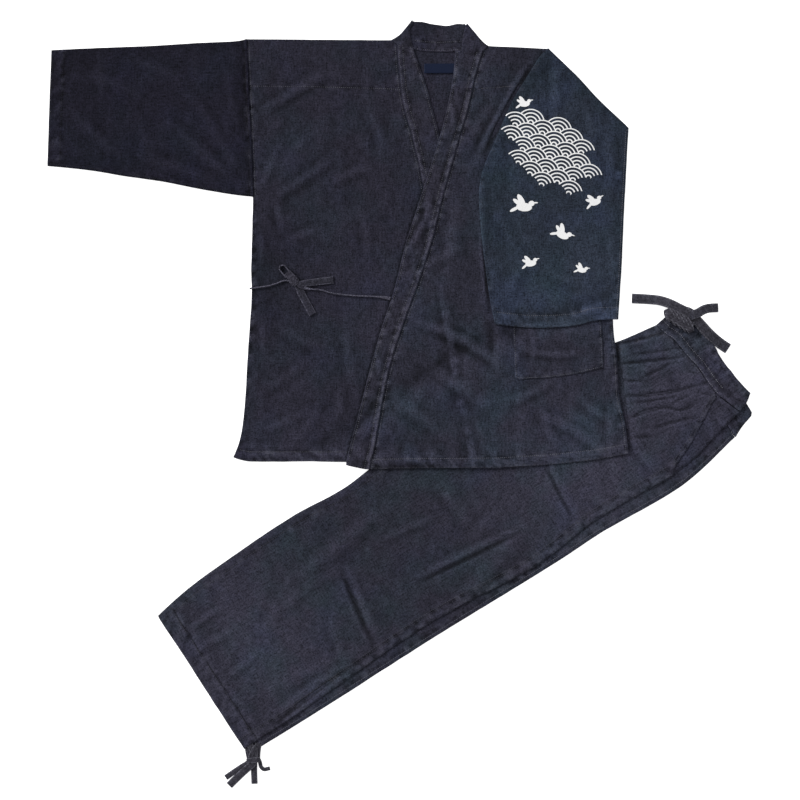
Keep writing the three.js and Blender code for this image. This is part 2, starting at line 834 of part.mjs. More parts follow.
class LevelCurve extends THREE.CatmullRomCurve3 {
  computeFrenetFrames(segments) {
    const frames = { tangents: [], normals: [], binormals: [] };
    for (let i = 0; i <= segments; i += 1) {
      const tangent = this.getTangentAt(i / segments).normalize();
      const side = new THREE.Vector3(tangent.y, -tangent.x, 0).normalize();
      frames.tangents.push(tangent);
      frames.binormals.push(side);
      frames.normals.push(new THREE.Vector3().crossVectors(side, tangent));
    }
    return frames;
  }
}

// Eight-sided section of a strip, thickness by width
function stripSection(wide, thick) {
  const corner = thick / 4;
  const halfT = thick / 2;
  const halfW = wide / 2;
  return new THREE.Shape([
    new THREE.Vector2(halfT, halfW - corner),
    new THREE.Vector2(halfT - corner, halfW),
    new THREE.Vector2(corner - halfT, halfW),
    new THREE.Vector2(-halfT, halfW - corner),
    new THREE.Vector2(-halfT, corner - halfW),
    new THREE.Vector2(corner - halfT, -halfW),
    new THREE.Vector2(halfT - corner, -halfW),
    new THREE.Vector2(halfT, corner - halfW),
  ]);
}

function strip(name, { route, wide, thick = STRIP, steps = 8 }) {
  const path = new LevelCurve(route.map((p) => new THREE.Vector3(p.x, p.y, p.z)));
  const geometry = new THREE.ExtrudeGeometry(stripSection(wide, thick), {
    steps,
    bevelEnabled: false,
    extrudePath: path,
  });
  return clothMesh(name, geometry, COLOUR.tie);
}

function knot(name, { at, half }) {
  const geometry = new THREE.SphereGeometry(1, 12, 8);
  geometry.rotateX(Math.PI / 2);
  geometry.scale(half.x, half.y, half.z);
  geometry.translate(at.x, at.y, at.z);
  return clothMesh(name, geometry, COLOUR.tie);
}

// The jacket's bow: a run from the side seam, a run from the neckband, a loop and two ends
const JACKET_TIE = {
  tie_side_run: {
    wide: TIE_RUN_WIDTH,
    route: [
      { x: -247, y: 158, z: 3.8 },
      { x: -232, y: 160, z: 3.8 },
      { x: -215.5, y: 162.5, z: 3.8 },
      { x: -202, y: 166.8, z: 3.8 },
      { x: -190, y: 171, z: 3.8 },
      { x: -180.5, y: 170.2, z: 4.2 },
    ],
  },
  tie_band_run: {
    wide: TIE_RUN_WIDTH,
    steps: 12,
    route: [
      { x: -14.3, y: 141.4, z: 3.7 },
      { x: -32, y: 144.2, z: 3.8 },
      { x: -55, y: 145.4, z: 3.8 },
      { x: -78.7, y: 146.2, z: 3.8 },
      { x: -108.9, y: 150, z: 3.8 },
      { x: -129.5, y: 155.2, z: 3.8 },
      { x: -148.2, y: 157.2, z: 5.0 },
      { x: -159.5, y: 161.6, z: 6.6 },
    ],
  },
  tie_end_lower: {
    wide: TIE_WIDTH,
    route: [
      { x: -165.4, y: 157.4, z: 3.8 },
      { x: -160, y: 146.5, z: 3.8 },
      { x: -151.5, y: 131, z: 3.8 },
      { x: -142.7, y: 114.7, z: 3.8 },
    ],
  },
  tie_end_right: {
    wide: TIE_WIDTH - 1,
    route: [
      { x: -159.5, y: 171.8, z: 7.4 },
      { x: -150, y: 171.6, z: 6.8 },
      { x: -135, y: 171.6, z: 4.8 },
      { x: -122, y: 171.5, z: 3.9 },
      { x: -108.9, y: 171.4, z: 3.8 },
    ],
  },
  tie_loop: {
    wide: TIE_WIDTH,
    thick: 3.2,
    steps: 6,
    route: [
      { x: -176.4, y: 175.6, z: 7.8 },
      { x: -184, y: 183.5, z: 7.4 },
      { x: -190.5, y: 190.4, z: 5.8 },
      { x: -197.5, y: 197, z: 4.6 },
    ],
  },
};
const JACKET_KNOT = { at: { x: -170, y: 167.5, z: 6.5 }, half: { x: 8.8, y: 7.6, z: 3.8 } };

// The trousers' drawstring, knotted on the corner of the waistband
const DRAWSTRING = {
  drawstring_end_left: {
    wide: DRAWSTRING_WIDTH,
    steps: 12,
    route: [
      { x: 444, y: 117, z: 13.8 },
      { x: 436, y: 125.5, z: 11.2 },
      { x: 429, y: 132.5, z: 6 },
      { x: 420, y: 137.6, z: 1.9 },
      { x: 410, y: 139.9, z: 1.2 },
      { x: 396, y: 141.2, z: 1.2 },
      { x: 382.8, y: 141.9, z: 1.2 },
    ],
  },
  drawstring_end_lower: {
    wide: DRAWSTRING_WIDTH,
    steps: 12,
    route: [
      { x: 481.6, y: 113.4, z: 13.4 },
      { x: 488.4, y: 108.6, z: 11.4 },
      { x: 496, y: 102.2, z: 6.6 },
      { x: 505, y: 94.8, z: 2.6 },
      { x: 514, y: 86.8, z: 1.3 },
      { x: 528, y: 73.6, z: 1.2 },
      { x: 543.7, y: 58.6, z: 1.2 },
    ],
  },
  drawstring_loop: {
    wide: DRAWSTRING_WIDTH,
    thick: 3.2,
    route: [
      { x: 477.4, y: 121.2, z: 17.6 },
      { x: 490, y: 123, z: 16.8 },
      { x: 503, y: 124.6, z: 12.4 },
      { x: 514, y: 125.8, z: 6 },
      { x: 523.9, y: 126.9, z: 2.4 },
    ],
  },
};
const WAIST_KNOT = { at: { x: 458.7, y: 106.4, z: 16.1 }, half: { x: 20, y: 13.5, z: 6 } };

// The leg hems' ties: both legs' strings leave one corner in a wrapped bundle with four ends
const HEM_WRAP = [
  { x: -253.5, y: -600.2 },
  { x: -249, y: -597.6 },
  { x: -229, y: -597.2 },
  { x: -231, y: -621.5 },
  { x: -252.5, y: -621.5 },
];
const HEM_WRAP_THICK = 5;
const HEM_TIES = {
  hem_tie_end_1: {
    wide: 8,
    route: [
      { x: -251.4, y: -625.2, z: 1.1 },
      { x: -259.6, y: -630.2, z: 1.1 },
      { x: -272, y: -638.4, z: 1.1 },
      { x: -286.5, y: -648.4, z: 1.1 },
    ],
  },
  hem_tie_end_2: {
    wide: 11,
    route: [
      { x: -243.6, y: -626.4, z: 4.2 },
      { x: -252.6, y: -634, z: 3.9 },
      { x: -266, y: -646.6, z: 2.6 },
      { x: -280.8, y: -661.3, z: 1.2 },
    ],
  },
  hem_tie_end_3: {
    wide: 10.4,
    route: [
      { x: -239.6, y: -622.4, z: 1.1 },
      { x: -239.8, y: -634, z: 1.1 },
      { x: -239.6, y: -646, z: 1.1 },
      { x: -239.2, y: -658.5, z: 1.1 },
    ],
  },
  hem_tie_end_4: {
    wide: 7,
    route: [
      { x: -230.4, y: -622.6, z: 1.1 },
      { x: -228.4, y: -630.5, z: 1.1 },
      { x: -223.4, y: -634.8, z: 1.1 },
      { x: -213.7, y: -632.8, z: 1.1 },
    ],
  },
};

function hemWrap() {
  const geometry = new THREE.ExtrudeGeometry(new THREE.Shape(straight(HEM_WRAP)), {
    depth: HEM_WRAP_THICK,
    bevelEnabled: false,
  });
  return clothMesh("hem_tie_wrap", geometry, COLOUR.tie);
}

function ties() {
  const group = new THREE.Group();
  for (const set of [JACKET_TIE, DRAWSTRING, HEM_TIES]) {
    for (const [name, shape] of Object.entries(set)) group.add(strip(name, shape));
  }
  group.add(knot("tie_knot", JACKET_KNOT), knot("drawstring_knot", WAIST_KNOT), hemWrap());
  return group;
}

const samue = new THREE.Group();
samue.add(trousers(), jacketPieces(), ties());

export default samue;
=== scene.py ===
# %% [markdown]
# # A samue set laid out flat
# A samue is a two-piece work suit: a wrapped jacket, closed left over right with ties, and loose
# trousers with a drawstring. This one is sewn from dark slub denim. It lies on a pale surface and is
# seen from straight above, the jacket over the folded trousers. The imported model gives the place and
# the plain form of every piece, and each is dressed here with a thin sheet of cloth. Cloth is worked
# out in millimetres and turned into metres when its mesh is made. Ribbons are worked out in metres.

# %% Load the frame
import math
from functools import partial

import bpy
import numpy as np
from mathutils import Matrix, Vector
from mathutils.bvhtree import BVHTree
from mathutils.geometry import delaunay_2d_cdt


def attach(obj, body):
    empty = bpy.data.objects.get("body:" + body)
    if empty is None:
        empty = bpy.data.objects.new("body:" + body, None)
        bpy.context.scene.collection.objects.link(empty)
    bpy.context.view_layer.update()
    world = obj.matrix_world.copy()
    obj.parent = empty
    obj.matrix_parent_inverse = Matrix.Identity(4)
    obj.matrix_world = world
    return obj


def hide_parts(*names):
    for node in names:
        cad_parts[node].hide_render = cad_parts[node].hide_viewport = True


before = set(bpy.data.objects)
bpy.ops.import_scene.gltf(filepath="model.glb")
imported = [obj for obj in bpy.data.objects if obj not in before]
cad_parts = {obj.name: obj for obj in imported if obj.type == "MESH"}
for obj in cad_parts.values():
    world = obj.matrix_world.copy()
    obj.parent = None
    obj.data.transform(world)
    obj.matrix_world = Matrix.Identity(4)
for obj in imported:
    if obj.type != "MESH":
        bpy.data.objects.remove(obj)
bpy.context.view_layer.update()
MM = 0.001
print("pieces in the frame:", len(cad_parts))

# %% [markdown]
# ## Camera, floor and light
# A flat-lay is photographed from straight above, so the camera looks down the Z axis. A long lens far
# away keeps the cloth free of perspective. A white surrounding and one broad, low window light give
# the even light of a product picture, with enough direction to read the folds. The floor glows a
# little, as a cut-out background has no shadows on it.

# %% Camera
LENS_MM = 85
SENSOR_MM = 36
PICTURE_WIDTH = 1.32
PICTURE_CENTRE = (0.0008, -0.0256)

scene = bpy.context.scene
camera_data = bpy.data.cameras.new("picture_camera")
camera_data.lens = LENS_MM
camera_data.sensor_width = SENSOR_MM
camera_data.clip_end = 50
camera = bpy.data.objects.new("picture_camera", camera_data)
camera.location = (*PICTURE_CENTRE, PICTURE_WIDTH * LENS_MM / SENSOR_MM)
scene.collection.objects.link(camera)
scene.camera = camera
print("camera height:", round(camera.location.z, 3), "m")

# %% Floor
FLOOR_HALF = 6.0
FLOOR_LEVEL = -0.0004


def mesh_object(name, points, faces, material):
    """A new mesh object from points in metres."""
    mesh = bpy.data.meshes.new(name)
    mesh.from_pydata([tuple(p) for p in points], [], [tuple(f) for f in faces])
    made = bpy.data.objects.new(name, mesh)
    scene.collection.objects.link(made)
    mesh.materials.append(material)
    return made


def set_inputs(node, values):
    for label, value in values.items():
        node.inputs[label].default_value = value


floor_material = bpy.data.materials.new("pale_floor")
floor_material.use_nodes = True
floor_shader = floor_material.node_tree.nodes["Principled BSDF"]
set_inputs(floor_shader, {
    "Base Color": (0.93, 0.93, 0.93, 1),
    "Roughness": 0.9,
    "Emission Color": (1, 1, 1, 1),
    "Emission Strength": 0.8,
})
floor_corners = [(-1, -1), (1, -1), (1, 1), (-1, 1)]
floor = mesh_object(
    "studio_floor",
    [(x * FLOOR_HALF, y * FLOOR_HALF, FLOOR_LEVEL) for x, y in floor_corners],
    [(0, 1, 2, 3)],
    floor_material,
)

# %% Light
WORLD_STRENGTH = 0.5
WINDOW_STRENGTH = 2.3
WINDOW_AIM = (0.74, -0.56, -0.56)
WINDOW_SPREAD = math.radians(22)

window_data = bpy.data.lights.new("upper_left_window", "SUN")
window_data.energy = WINDOW_STRENGTH
window_data.angle = WINDOW_SPREAD
window = bpy.data.objects.new("upper_left_window", window_data)
window.rotation_euler = Vector(WINDOW_AIM).to_track_quat("-Z", "Y").to_euler()
scene.collection.objects.link(window)

world = bpy.data.worlds.new("white_studio")
world.use_nodes = True
set_inputs(world.node_tree.nodes["Background"], {"Color": (1, 1, 1, 1), "Strength": WORLD_STRENGTH})
scene.world = world
scene.view_settings.view_transform = "Standard"

# %% [markdown]
# ## Denim as node groups
# Slub denim is woven from uneven yarn, so short thick streaks run along the warp and the weft. The
# dye is not even either: purple-black, teal and blue patches drift over the cloth, and the crests of
# puckered seams are rubbed pale. The wear group also paints shade into hollows and along edges, and
# painted light onto crests. Each of these effects is a node group, built once and placed in the
# materials with its own values. They read the grain map, a UV map in metres with V along the warp, so
# the streaks follow every panel however it lies.

# %% Helpers for node trees
def node_group(name, inputs, outputs):
    """An empty shader node group with named sockets, and its input and output nodes."""
    group = bpy.data.node_groups.new(name, "ShaderNodeTree")
    for label, kind, value in inputs:
        socket = group.interface.new_socket(label, in_out="INPUT", socket_type=kind)
        if value is not None:
            socket.default_value = value
    for label, kind in outputs:
        group.interface.new_socket(label, in_out="OUTPUT", socket_type=kind)
    return group, group.nodes.new("NodeGroupInput"), group.nodes.new("NodeGroupOutput")


def add_node(tree, kind, settings=None, **inputs):
    """A node with its settings, and its inputs as values or as sockets to link from."""
    node = tree.nodes.new(kind)
    for key, value in (settings or {}).items():
        setattr(node, key, value)
    for key, value in inputs.items():
        place = int(key[1:]) if key[0] == "i" and key[1:].isdigit() else key.replace("_", " ")
        socket = node.inputs[place]
        if isinstance(value, bpy.types.NodeSocket):
            tree.links.new(value, socket)
        else:
            socket.default_value = value
    return node


def math_node(tree, operation, first, second=0.0, clamp=False):
    """One sum of two numbers, each a value or a socket."""
    settings = {"operation": operation, "use_clamp": clamp}
    return add_node(tree, "ShaderNodeMath", settings, i0=first, i1=second).outputs[0]


def mixed(tree, share, first, second, blend="MIX"):
    """A mix of two colours by a share."""
    settings = {"data_type": "RGBA", "blend_type": blend}
    return add_node(tree, "ShaderNodeMix", settings, i0=share, i6=first, i7=second).outputs[2]


def ranged(tree, value, low, high, to_low=0.0, to_high=1.0):
    """A value stretched from one range to another and kept inside it."""
    ends = {"From Min": low, "From Max": high, "To Min": to_low, "To Max": to_high}
    return add_node(tree, "ShaderNodeMapRange", None, Value=value, **ends).outputs[0]


def noise(tree, vector, scale, detail=2.0, roughness=0.5):
    """Noise of a scale per metre, as a number round one half."""
    inputs = {"Vector": vector, "Scale": scale, "Detail": detail, "Roughness": roughness}
    return add_node(tree, "ShaderNodeTexNoise", None, **inputs).outputs["Fac"]


def stretched(tree, vector, across, along):
    """The grain map drawn out, for streaks along one of its directions."""
    inputs = {"Vector": vector, "Scale": (across, along, 1)}
    return add_node(tree, "ShaderNodeMapping", None, **inputs).outputs[0]


# %% Weave group
def make_weave():
    """Slub streaks and the twill itself, as a brightness from 0 to 1 and a height."""
    group, start, end = node_group(
        "slub weave",
        [
            ("Grain", "NodeSocketVector", None),
            ("Yarns per metre", "NodeSocketFloat", 1500.0),
        ],
        [("Brightness", "NodeSocketFloat"), ("Height", "NodeSocketFloat")],
    )
    sums = partial(math_node, group)
    grain = start.outputs["Grain"]
    warp = noise(group, stretched(group, grain, 330, 85), 1.0, 3.0, 0.62)
    weft = noise(group, stretched(group, grain, 100, 300), 1.0, 3.0, 0.6)
    speck = noise(group, grain, 420.0, 3.0, 0.65)
    streaks = sums("MULTIPLY", warp, 0.3)
    streaks = sums("ADD", streaks, sums("MULTIPLY", weft, 0.2))
    streaks = sums("ADD", streaks, sums("MULTIPLY", speck, 0.5))
    slub = ranged(group, streaks, 0.39, 0.63)
    parts = add_node(group, "ShaderNodeSeparateXYZ", None, Vector=grain)
    yarns = start.outputs["Yarns per metre"]
    turn = sums("MULTIPLY", sums("ADD", parts.outputs[0], parts.outputs[1]), yarns)
    twill = sums("SINE", sums("MULTIPLY", turn, 2 * math.pi))
    rib = ranged(group, twill, -1.0, 1.0)
    bright = sums("ADD", sums("MULTIPLY", slub, 0.8), sums("MULTIPLY", rib, 0.2))
    group.links.new(sums("ADD", bright, 0.0, clamp=True), end.inputs["Brightness"])
    group.links.new(bright, end.inputs["Height"])
    return group


WEAVE = make_weave()
print("group:", WEAVE.name)


# %% Dye group
def make_dye():
    """Three dark shades that drift over the cloth in patches."""
    group, start, end = node_group(
        "uneven dye",
        [
            ("Place", "NodeSocketVector", None),
            ("Main shade", "NodeSocketColor", (0.03, 0.03, 0.04, 1)),
            ("Teal shade", "NodeSocketColor", (0.02, 0.04, 0.05, 1)),
            ("Blue shade", "NodeSocketColor", (0.03, 0.035, 0.07, 1)),
            ("Teal share", "NodeSocketFloat", 0.5),
            ("Blue share", "NodeSocketFloat", 0.4),
        ],
        [("Color", "NodeSocketColor")],
    )
    place = start.outputs["Place"]
    teal_patch = ranged(group, noise(group, place, 9.0, 3.0, 0.6), 0.45, 0.68)
    shifted = add_node(group, "ShaderNodeVectorMath", None, i0=place, i1=(3.7, 1.9, 0.0)).outputs[0]
    blue_patch = ranged(group, noise(group, shifted, 13.0, 3.0, 0.6), 0.48, 0.7)
    teal = math_node(group, "MULTIPLY", teal_patch, start.outputs["Teal share"])
    blue = math_node(group, "MULTIPLY", blue_patch, start.outputs["Blue share"])
    colour = mixed(group, teal, start.outputs["Main shade"], start.outputs["Teal shade"])
    colour = mixed(group, blue, colour, start.outputs["Blue shade"])
    group.links.new(colour, end.inputs["Color"])
    return group


DYE = make_dye()
print("group:", DYE.name)


# %% Wear group
def make_wear_and_shade():
    """A base colour with painted shade, darker in hollows and lighter on crests, and paler where the wear map
    and broken noise meet.
    """
    group, start, end = node_group(
        "rubbed crests",
        [
            ("Color", "NodeSocketColor", (0.03, 0.03, 0.04, 1)),
            ("Pale", "NodeSocketColor", (0.09, 0.09, 0.12, 1)),
            ("Wear", "NodeSocketFloat", 0.0),
            ("Relief", "NodeSocketFloat", 0.0),
            ("Grain", "NodeSocketVector", None),
            ("Brightness", "NodeSocketFloat", 0.5),
        ],
        [("Color", "NodeSocketColor")],
    )
    broken = ranged(group, noise(group, start.outputs["Grain"], 330.0, 3.0, 0.7), 0.42, 0.66)
    share = math_node(group, "MULTIPLY", start.outputs["Wear"], broken, clamp=True)
    level = ranged(group, start.outputs["Brightness"], 0.0, 1.0, 0.15, 1.9)
    # Painted shade and painted light: the painted shade map darkens hollows and edges and lightens crests.
    hollow = ranged(group, start.outputs["Relief"], -1.0, 1.0, 0.25, 1.4)
    level = math_node(group, "MULTIPLY", level, hollow)
    woven = mixed(group, 1.0, start.outputs["Color"], level, "MULTIPLY")
    group.links.new(mixed(group, share, woven, start.outputs["Pale"]), end.inputs["Color"])
    return group


WEAR_AND_SHADE = make_wear_and_shade()
print("group:", WEAR_AND_SHADE.name)

# %% [markdown]
# ## The denim materials
# The body, the folded-down sleeve and the trousers are one cloth but were washed and lie differently,
# so each gets its own shades. The left front and the pocket get a lighter copy of the body's shades,
# which is painted light. A little sheen stands for the fine lint on cotton.

# %% Denim materials
WEAVE_BUMP_MM = 0.22
SATIN_BUMP_MM = 0.1


def woven_material(name, bump_strength, bump_mm):
    """A new material with the weave's bump, and the parts of it that a finish is built from."""
    material = bpy.data.materials.new(name)
    material.use_nodes = True
    tree = material.node_tree
    shader = tree.nodes["Principled BSDF"]
    grain = add_node(tree, "ShaderNodeUVMap", {"uv_map": "grain"}).outputs[0]
    weave = add_node(tree, "ShaderNodeGroup", {"node_tree": WEAVE}, Grain=grain)
    sizes = {"Strength": bump_strength, "Distance": bump_mm * MM}
    bump = add_node(tree, "ShaderNodeBump", None, Height=weave.outputs["Height"], **sizes)
    tree.links.new(bump.outputs[0], shader.inputs["Normal"])
    return material, tree, shader, grain, weave


def denim(name, main, teal, blue, teal_share, blue_share, pale):
    """A slub denim with its own three shades."""
    material, tree, shader, grain, weave = woven_material(name, 0.8, WEAVE_BUMP_MM)
    dye = add_node(tree, "ShaderNodeGroup", {"node_tree": DYE}, Place=grain)
    shades = {"Main shade": (*main, 1), "Teal shade": (*teal, 1), "Blue shade": (*blue, 1)}
    set_inputs(dye, {**shades, "Teal share": teal_share, "Blue share": blue_share})
    wear_map = add_node(tree, "ShaderNodeAttribute", {"attribute_name": "wear"}).outputs["Fac"]
    # The painted shade map: painted shade in hollows and on edges, painted light on crests and in wide pools.
    relief = add_node(tree, "ShaderNodeAttribute", {"attribute_name": "relief"}).outputs["Fac"]
    wear = add_node(tree, "ShaderNodeGroup", {"node_tree": WEAR_AND_SHADE}, Grain=grain, Wear=wear_map, Relief=relief)
    set_inputs(wear, {"Pale": (*pale, 1)})
    tree.links.new(dye.outputs["Color"], wear.inputs["Color"])
    tree.links.new(weave.outputs["Brightness"], wear.inputs["Brightness"])
    tree.links.new(wear.outputs["Color"], shader.inputs["Base Color"])
    rough = ranged(tree, weave.outputs["Height"], 0.0, 1.0, 0.95, 0.8)
    tree.links.new(rough, shader.inputs["Roughness"])
    set_inputs(shader, {
        "Specular IOR Level": 0.12,
        "Sheen Weight": 0.02,
        "Sheen Roughness": 0.5,
        "Sheen Tint": (0.6, 0.65, 0.8, 1),
    })
    return material


PALE = (0.098, 0.098, 0.128)
DENIM_SLEEVE = denim(
    "jacket_denim_dark", (0.0160, 0.0150, 0.0275), (0.0125, 0.0165, 0.028), (0.0155, 0.016, 0.036),
    0.5, 0.4, PALE,
)
DENIM_BODY = denim(
    "jacket_denim", (0.0275, 0.0262, 0.0425), (0.023, 0.0306, 0.046), (0.0272, 0.0282, 0.054),
    0.7, 0.45, PALE,
)
# A lighter copy of the body's denim for the left front and pocket: painted light.
DENIM_FRONT_LIT = denim(
    "jacket_denim_left_lit", (0.031, 0.0308, 0.0485), (0.0265, 0.0385, 0.0566), (0.031, 0.0348, 0.064),
    0.8, 0.5, PALE,
)
DENIM_TURNED = denim(
    "turned_denim", (0.029, 0.0375, 0.058), (0.023, 0.041, 0.057), (0.034, 0.045, 0.083),
    0.6, 0.7, PALE,
)
DENIM_TROUSERS = denim(
    "trousers_denim", (0.0335, 0.0325, 0.0505), (0.0286, 0.040, 0.0544), (0.0335, 0.0355, 0.065),
    0.8, 0.5, PALE,
)
DENIM_BAND = denim(
    "jacket_denim_band", (0.0325, 0.031, 0.0485), (0.026, 0.0375, 0.0535), (0.032, 0.034, 0.065),
    0.5, 0.45, PALE,
)
DENIM_TIE = denim(
    "tie_denim", (0.036, 0.034, 0.049), (0.031, 0.037, 0.048), (0.034, 0.035, 0.060),
    0.4, 0.4, (0.19, 0.186, 0.25),
)
DENIM_STRING = denim(
    "string_denim", (0.048, 0.046, 0.060), (0.043, 0.049, 0.059), (0.046, 0.048, 0.072),
    0.4, 0.4, (0.24, 0.24, 0.29),
)
print("denims:", [m.name for m in bpy.data.materials if "denim" in m.name])

# %% [markdown]
# ## The sleeve's print
# The folded-down sleeve carries a white stencil print. The one drawn here is a general pattern of
# rolling waves with small plovers. The wave pattern is made of rows of discs, each row lying over the
# one behind it, and each disc drawn as rings. For every point the group finds the foremost disc that
# covers it, and whether that disc belongs to the bank of waves. A plover is a sum of leaf shapes.

# %% Wave group
WAVE_RADIUS = 0.0235
PRINT_CENTRE = (0.247, 0.372)
PRINT_TURN = math.radians(-17)
RINGS = 3.9
BANK_MIDDLE = 0.15
BANK_HIGH = 2.3
BANK_WIDE = 3.1


def make_waves():
    """Rings of overlapping discs, as a mask, for a place measured in disc radii."""
    group, start, end = node_group(
        "wave rings", [("Place", "NodeSocketVector", None)], [("Mask", "NodeSocketFloat")]
    )
    sums = partial(math_node, group)
    parts = add_node(group, "ShaderNodeSeparateXYZ", None, Vector=start.outputs["Place"])
    x, y = parts.outputs[0], parts.outputs[1]
    lowest = sums("SUBTRACT", sums("CEIL", sums("MULTIPLY", y, 2.0)), 2.0)
    mask = 0.0
    for step in (2, 1, 0):
        row = sums("ADD", lowest, float(step))
        odd = sums("FLOORED_MODULO", row, 2.0)
        column = sums("DIVIDE", sums("SUBTRACT", x, odd), 2.0)
        centre_x = sums("ADD", sums("MULTIPLY", sums("ROUND", column), 2.0), odd)
        centre_y = sums("MULTIPLY", row, 0.5)
        right = sums("SUBTRACT", x, centre_x)
        up = sums("SUBTRACT", y, centre_y)
        squares = sums("ADD", sums("POWER", right, 2.0), sums("POWER", up, 2.0))
        away = sums("SQRT", squares)
        turn = sums("FRACT", sums("MULTIPLY", away, RINGS))
        ring = ranged(group, turn, 0.50, 0.56)
        ring = sums("SUBTRACT", ring, ranged(group, turn, 0.86, 0.92))
        tall = sums("DIVIDE", sums("SUBTRACT", centre_y, BANK_MIDDLE), BANK_HIGH)
        leaning = sums("ADD", centre_x, sums("MULTIPLY", centre_y, 0.5))
        wide = sums("DIVIDE", leaning, BANK_WIDE)
        reach = sums("ADD", sums("POWER", tall, 2.0), sums("POWER", wide, 2.0))
        drawn = sums("MULTIPLY", ring, sums("LESS_THAN", reach, 1.0))
        covered = sums("LESS_THAN", away, 0.985)
        over = add_node(group, "ShaderNodeMix", {"data_type": "FLOAT"}, i0=covered, i2=mask, i3=drawn)
        mask = over.outputs[0]
    group.links.new(mask, end.inputs["Mask"])
    return group


# %% Plover group
PLOVER_LEAVES = [
    {"at": (0.0, 0.0), "half": (0.50, 0.27), "turn": -12},
    {"at": (0.50, 0.16), "half": (0.19, 0.17), "turn": 0},
    {"at": (0.76, 0.17), "half": (0.15, 0.045), "turn": -8},
    {"at": (-0.62, -0.04), "half": (0.32, 0.10), "turn": 20},
    {"at": (-0.12, 0.46), "half": (0.17, 0.42), "turn": 22},
    {"at": (-0.36, 0.34), "half": (0.13, 0.36), "turn": 44},
]


def make_plover():
    """A small flying bird made of ellipses, as a mask, for a place measured in body lengths."""
    group, start, end = node_group(
        "plover", [("Place", "NodeSocketVector", None)], [("Mask", "NodeSocketFloat")]
    )
    mask = 0.0
    for leaf in PLOVER_LEAVES:
        inputs = {
            "Vector": start.outputs["Place"],
            "Location": (*leaf["at"], 0),
            "Rotation": (0, 0, math.radians(leaf["turn"])),
            "Scale": (*leaf["half"], 1),
        }
        local = add_node(group, "ShaderNodeMapping", {"vector_type": "TEXTURE"}, **inputs).outputs[0]
        away = add_node(group, "ShaderNodeVectorMath", {"operation": "LENGTH"}, i0=local).outputs["Value"]
        mask = math_node(group, "MAXIMUM", mask, ranged(group, away, 1.03, 0.97))
    group.links.new(mask, end.inputs["Mask"])
    return group


WAVES = make_waves()
PLOVER = make_plover()
PLOVERS = [
    {"at": (0.205, 0.292), "size": 0.026, "turn": 8},
    {"at": (0.268, 0.246), "size": 0.022, "turn": -14},
    {"at": (0.216, 0.199), "size": 0.018, "turn": 22},
    {"at": (0.322, 0.300), "size": 0.019, "turn": 30},
    {"at": (0.300, 0.188), "size": 0.015, "turn": 4},
    {"at": (0.206, 0.462), "size": 0.017, "turn": 16},
]


def add_print(material):
    """Lay the white print over a denim's colour."""
    tree = material.node_tree
    shader = tree.nodes["Principled BSDF"]
    place = add_node(tree, "ShaderNodeUVMap", {"uv_map": "grain"}).outputs[0]

    def drawn(group, at, size, turn):
        inputs = {"Vector": place, "Location": (*at, 0), "Rotation": (0, 0, turn), "Scale": (size, size, 1)}
        local = add_node(tree, "ShaderNodeMapping", {"vector_type": "TEXTURE"}, **inputs).outputs[0]
        return add_node(tree, "ShaderNodeGroup", {"node_tree": group}, Place=local).outputs[0]

    mask = drawn(WAVES, PRINT_CENTRE, WAVE_RADIUS, PRINT_TURN)
    for bird in PLOVERS:
        shape = drawn(PLOVER, bird["at"], bird["size"], math.radians(bird["turn"]))
        mask = math_node(tree, "MAXIMUM", mask, shape)
    side = add_node(tree, "ShaderNodeAttribute", {"attribute_name": "printed"}).outputs["Fac"]
    mask = math_node(tree, "MULTIPLY", mask, side)
    rubbed = ranged(tree, noise(tree, place, 700.0, 2.0, 0.7), 0.28, 0.42, 0.85, 1.0)
    mask = math_node(tree, "MULTIPLY", mask, rubbed)
    cloth = shader.inputs["Base Color"].links[0].from_socket
    tree.links.new(mixed(tree, mask, cloth, (0.97, 0.97, 0.97, 1)), shader.inputs["Base Color"])


add_print(DENIM_TURNED)
print("print:", WAVES.name, "and", len(PLOVERS), "birds")


# %% Plain finishes
def plain_finish(name, colour, roughness, sheen=0.0):
    """A material for thread or satin, with a fine grain in its colour."""
    material, tree, shader, _, weave = woven_material(name, 0.5, SATIN_BUMP_MM)
    level = ranged(tree, weave.outputs["Brightness"], 0.0, 1.0, 0.86, 1.08)
    tree.links.new(mixed(tree, 1.0, (*colour, 1), level, "MULTIPLY"), shader.inputs["Base Color"])
    set_inputs(shader, {"Roughness": roughness, "Specular IOR Level": 0.15, "Sheen Weight": sheen})
    return material


THREAD = plain_finish("navy_thread", (0.150, 0.152, 0.185), 0.6, 0.05)
PALE_THREAD = plain_finish("pale_thread", (0.30, 0.30, 0.35), 0.6, 0.05)
QUIET_THREAD = plain_finish("quiet_thread", (0.078, 0.078, 0.098), 0.65)
DARK_THREAD = plain_finish("dyed_thread", (0.030, 0.029, 0.042), 0.7)
LABEL_SATIN = plain_finish("label_satin", (0.0062, 0.0118, 0.036), 0.5)
print("finishes:", THREAD.name, LABEL_SATIN.name)
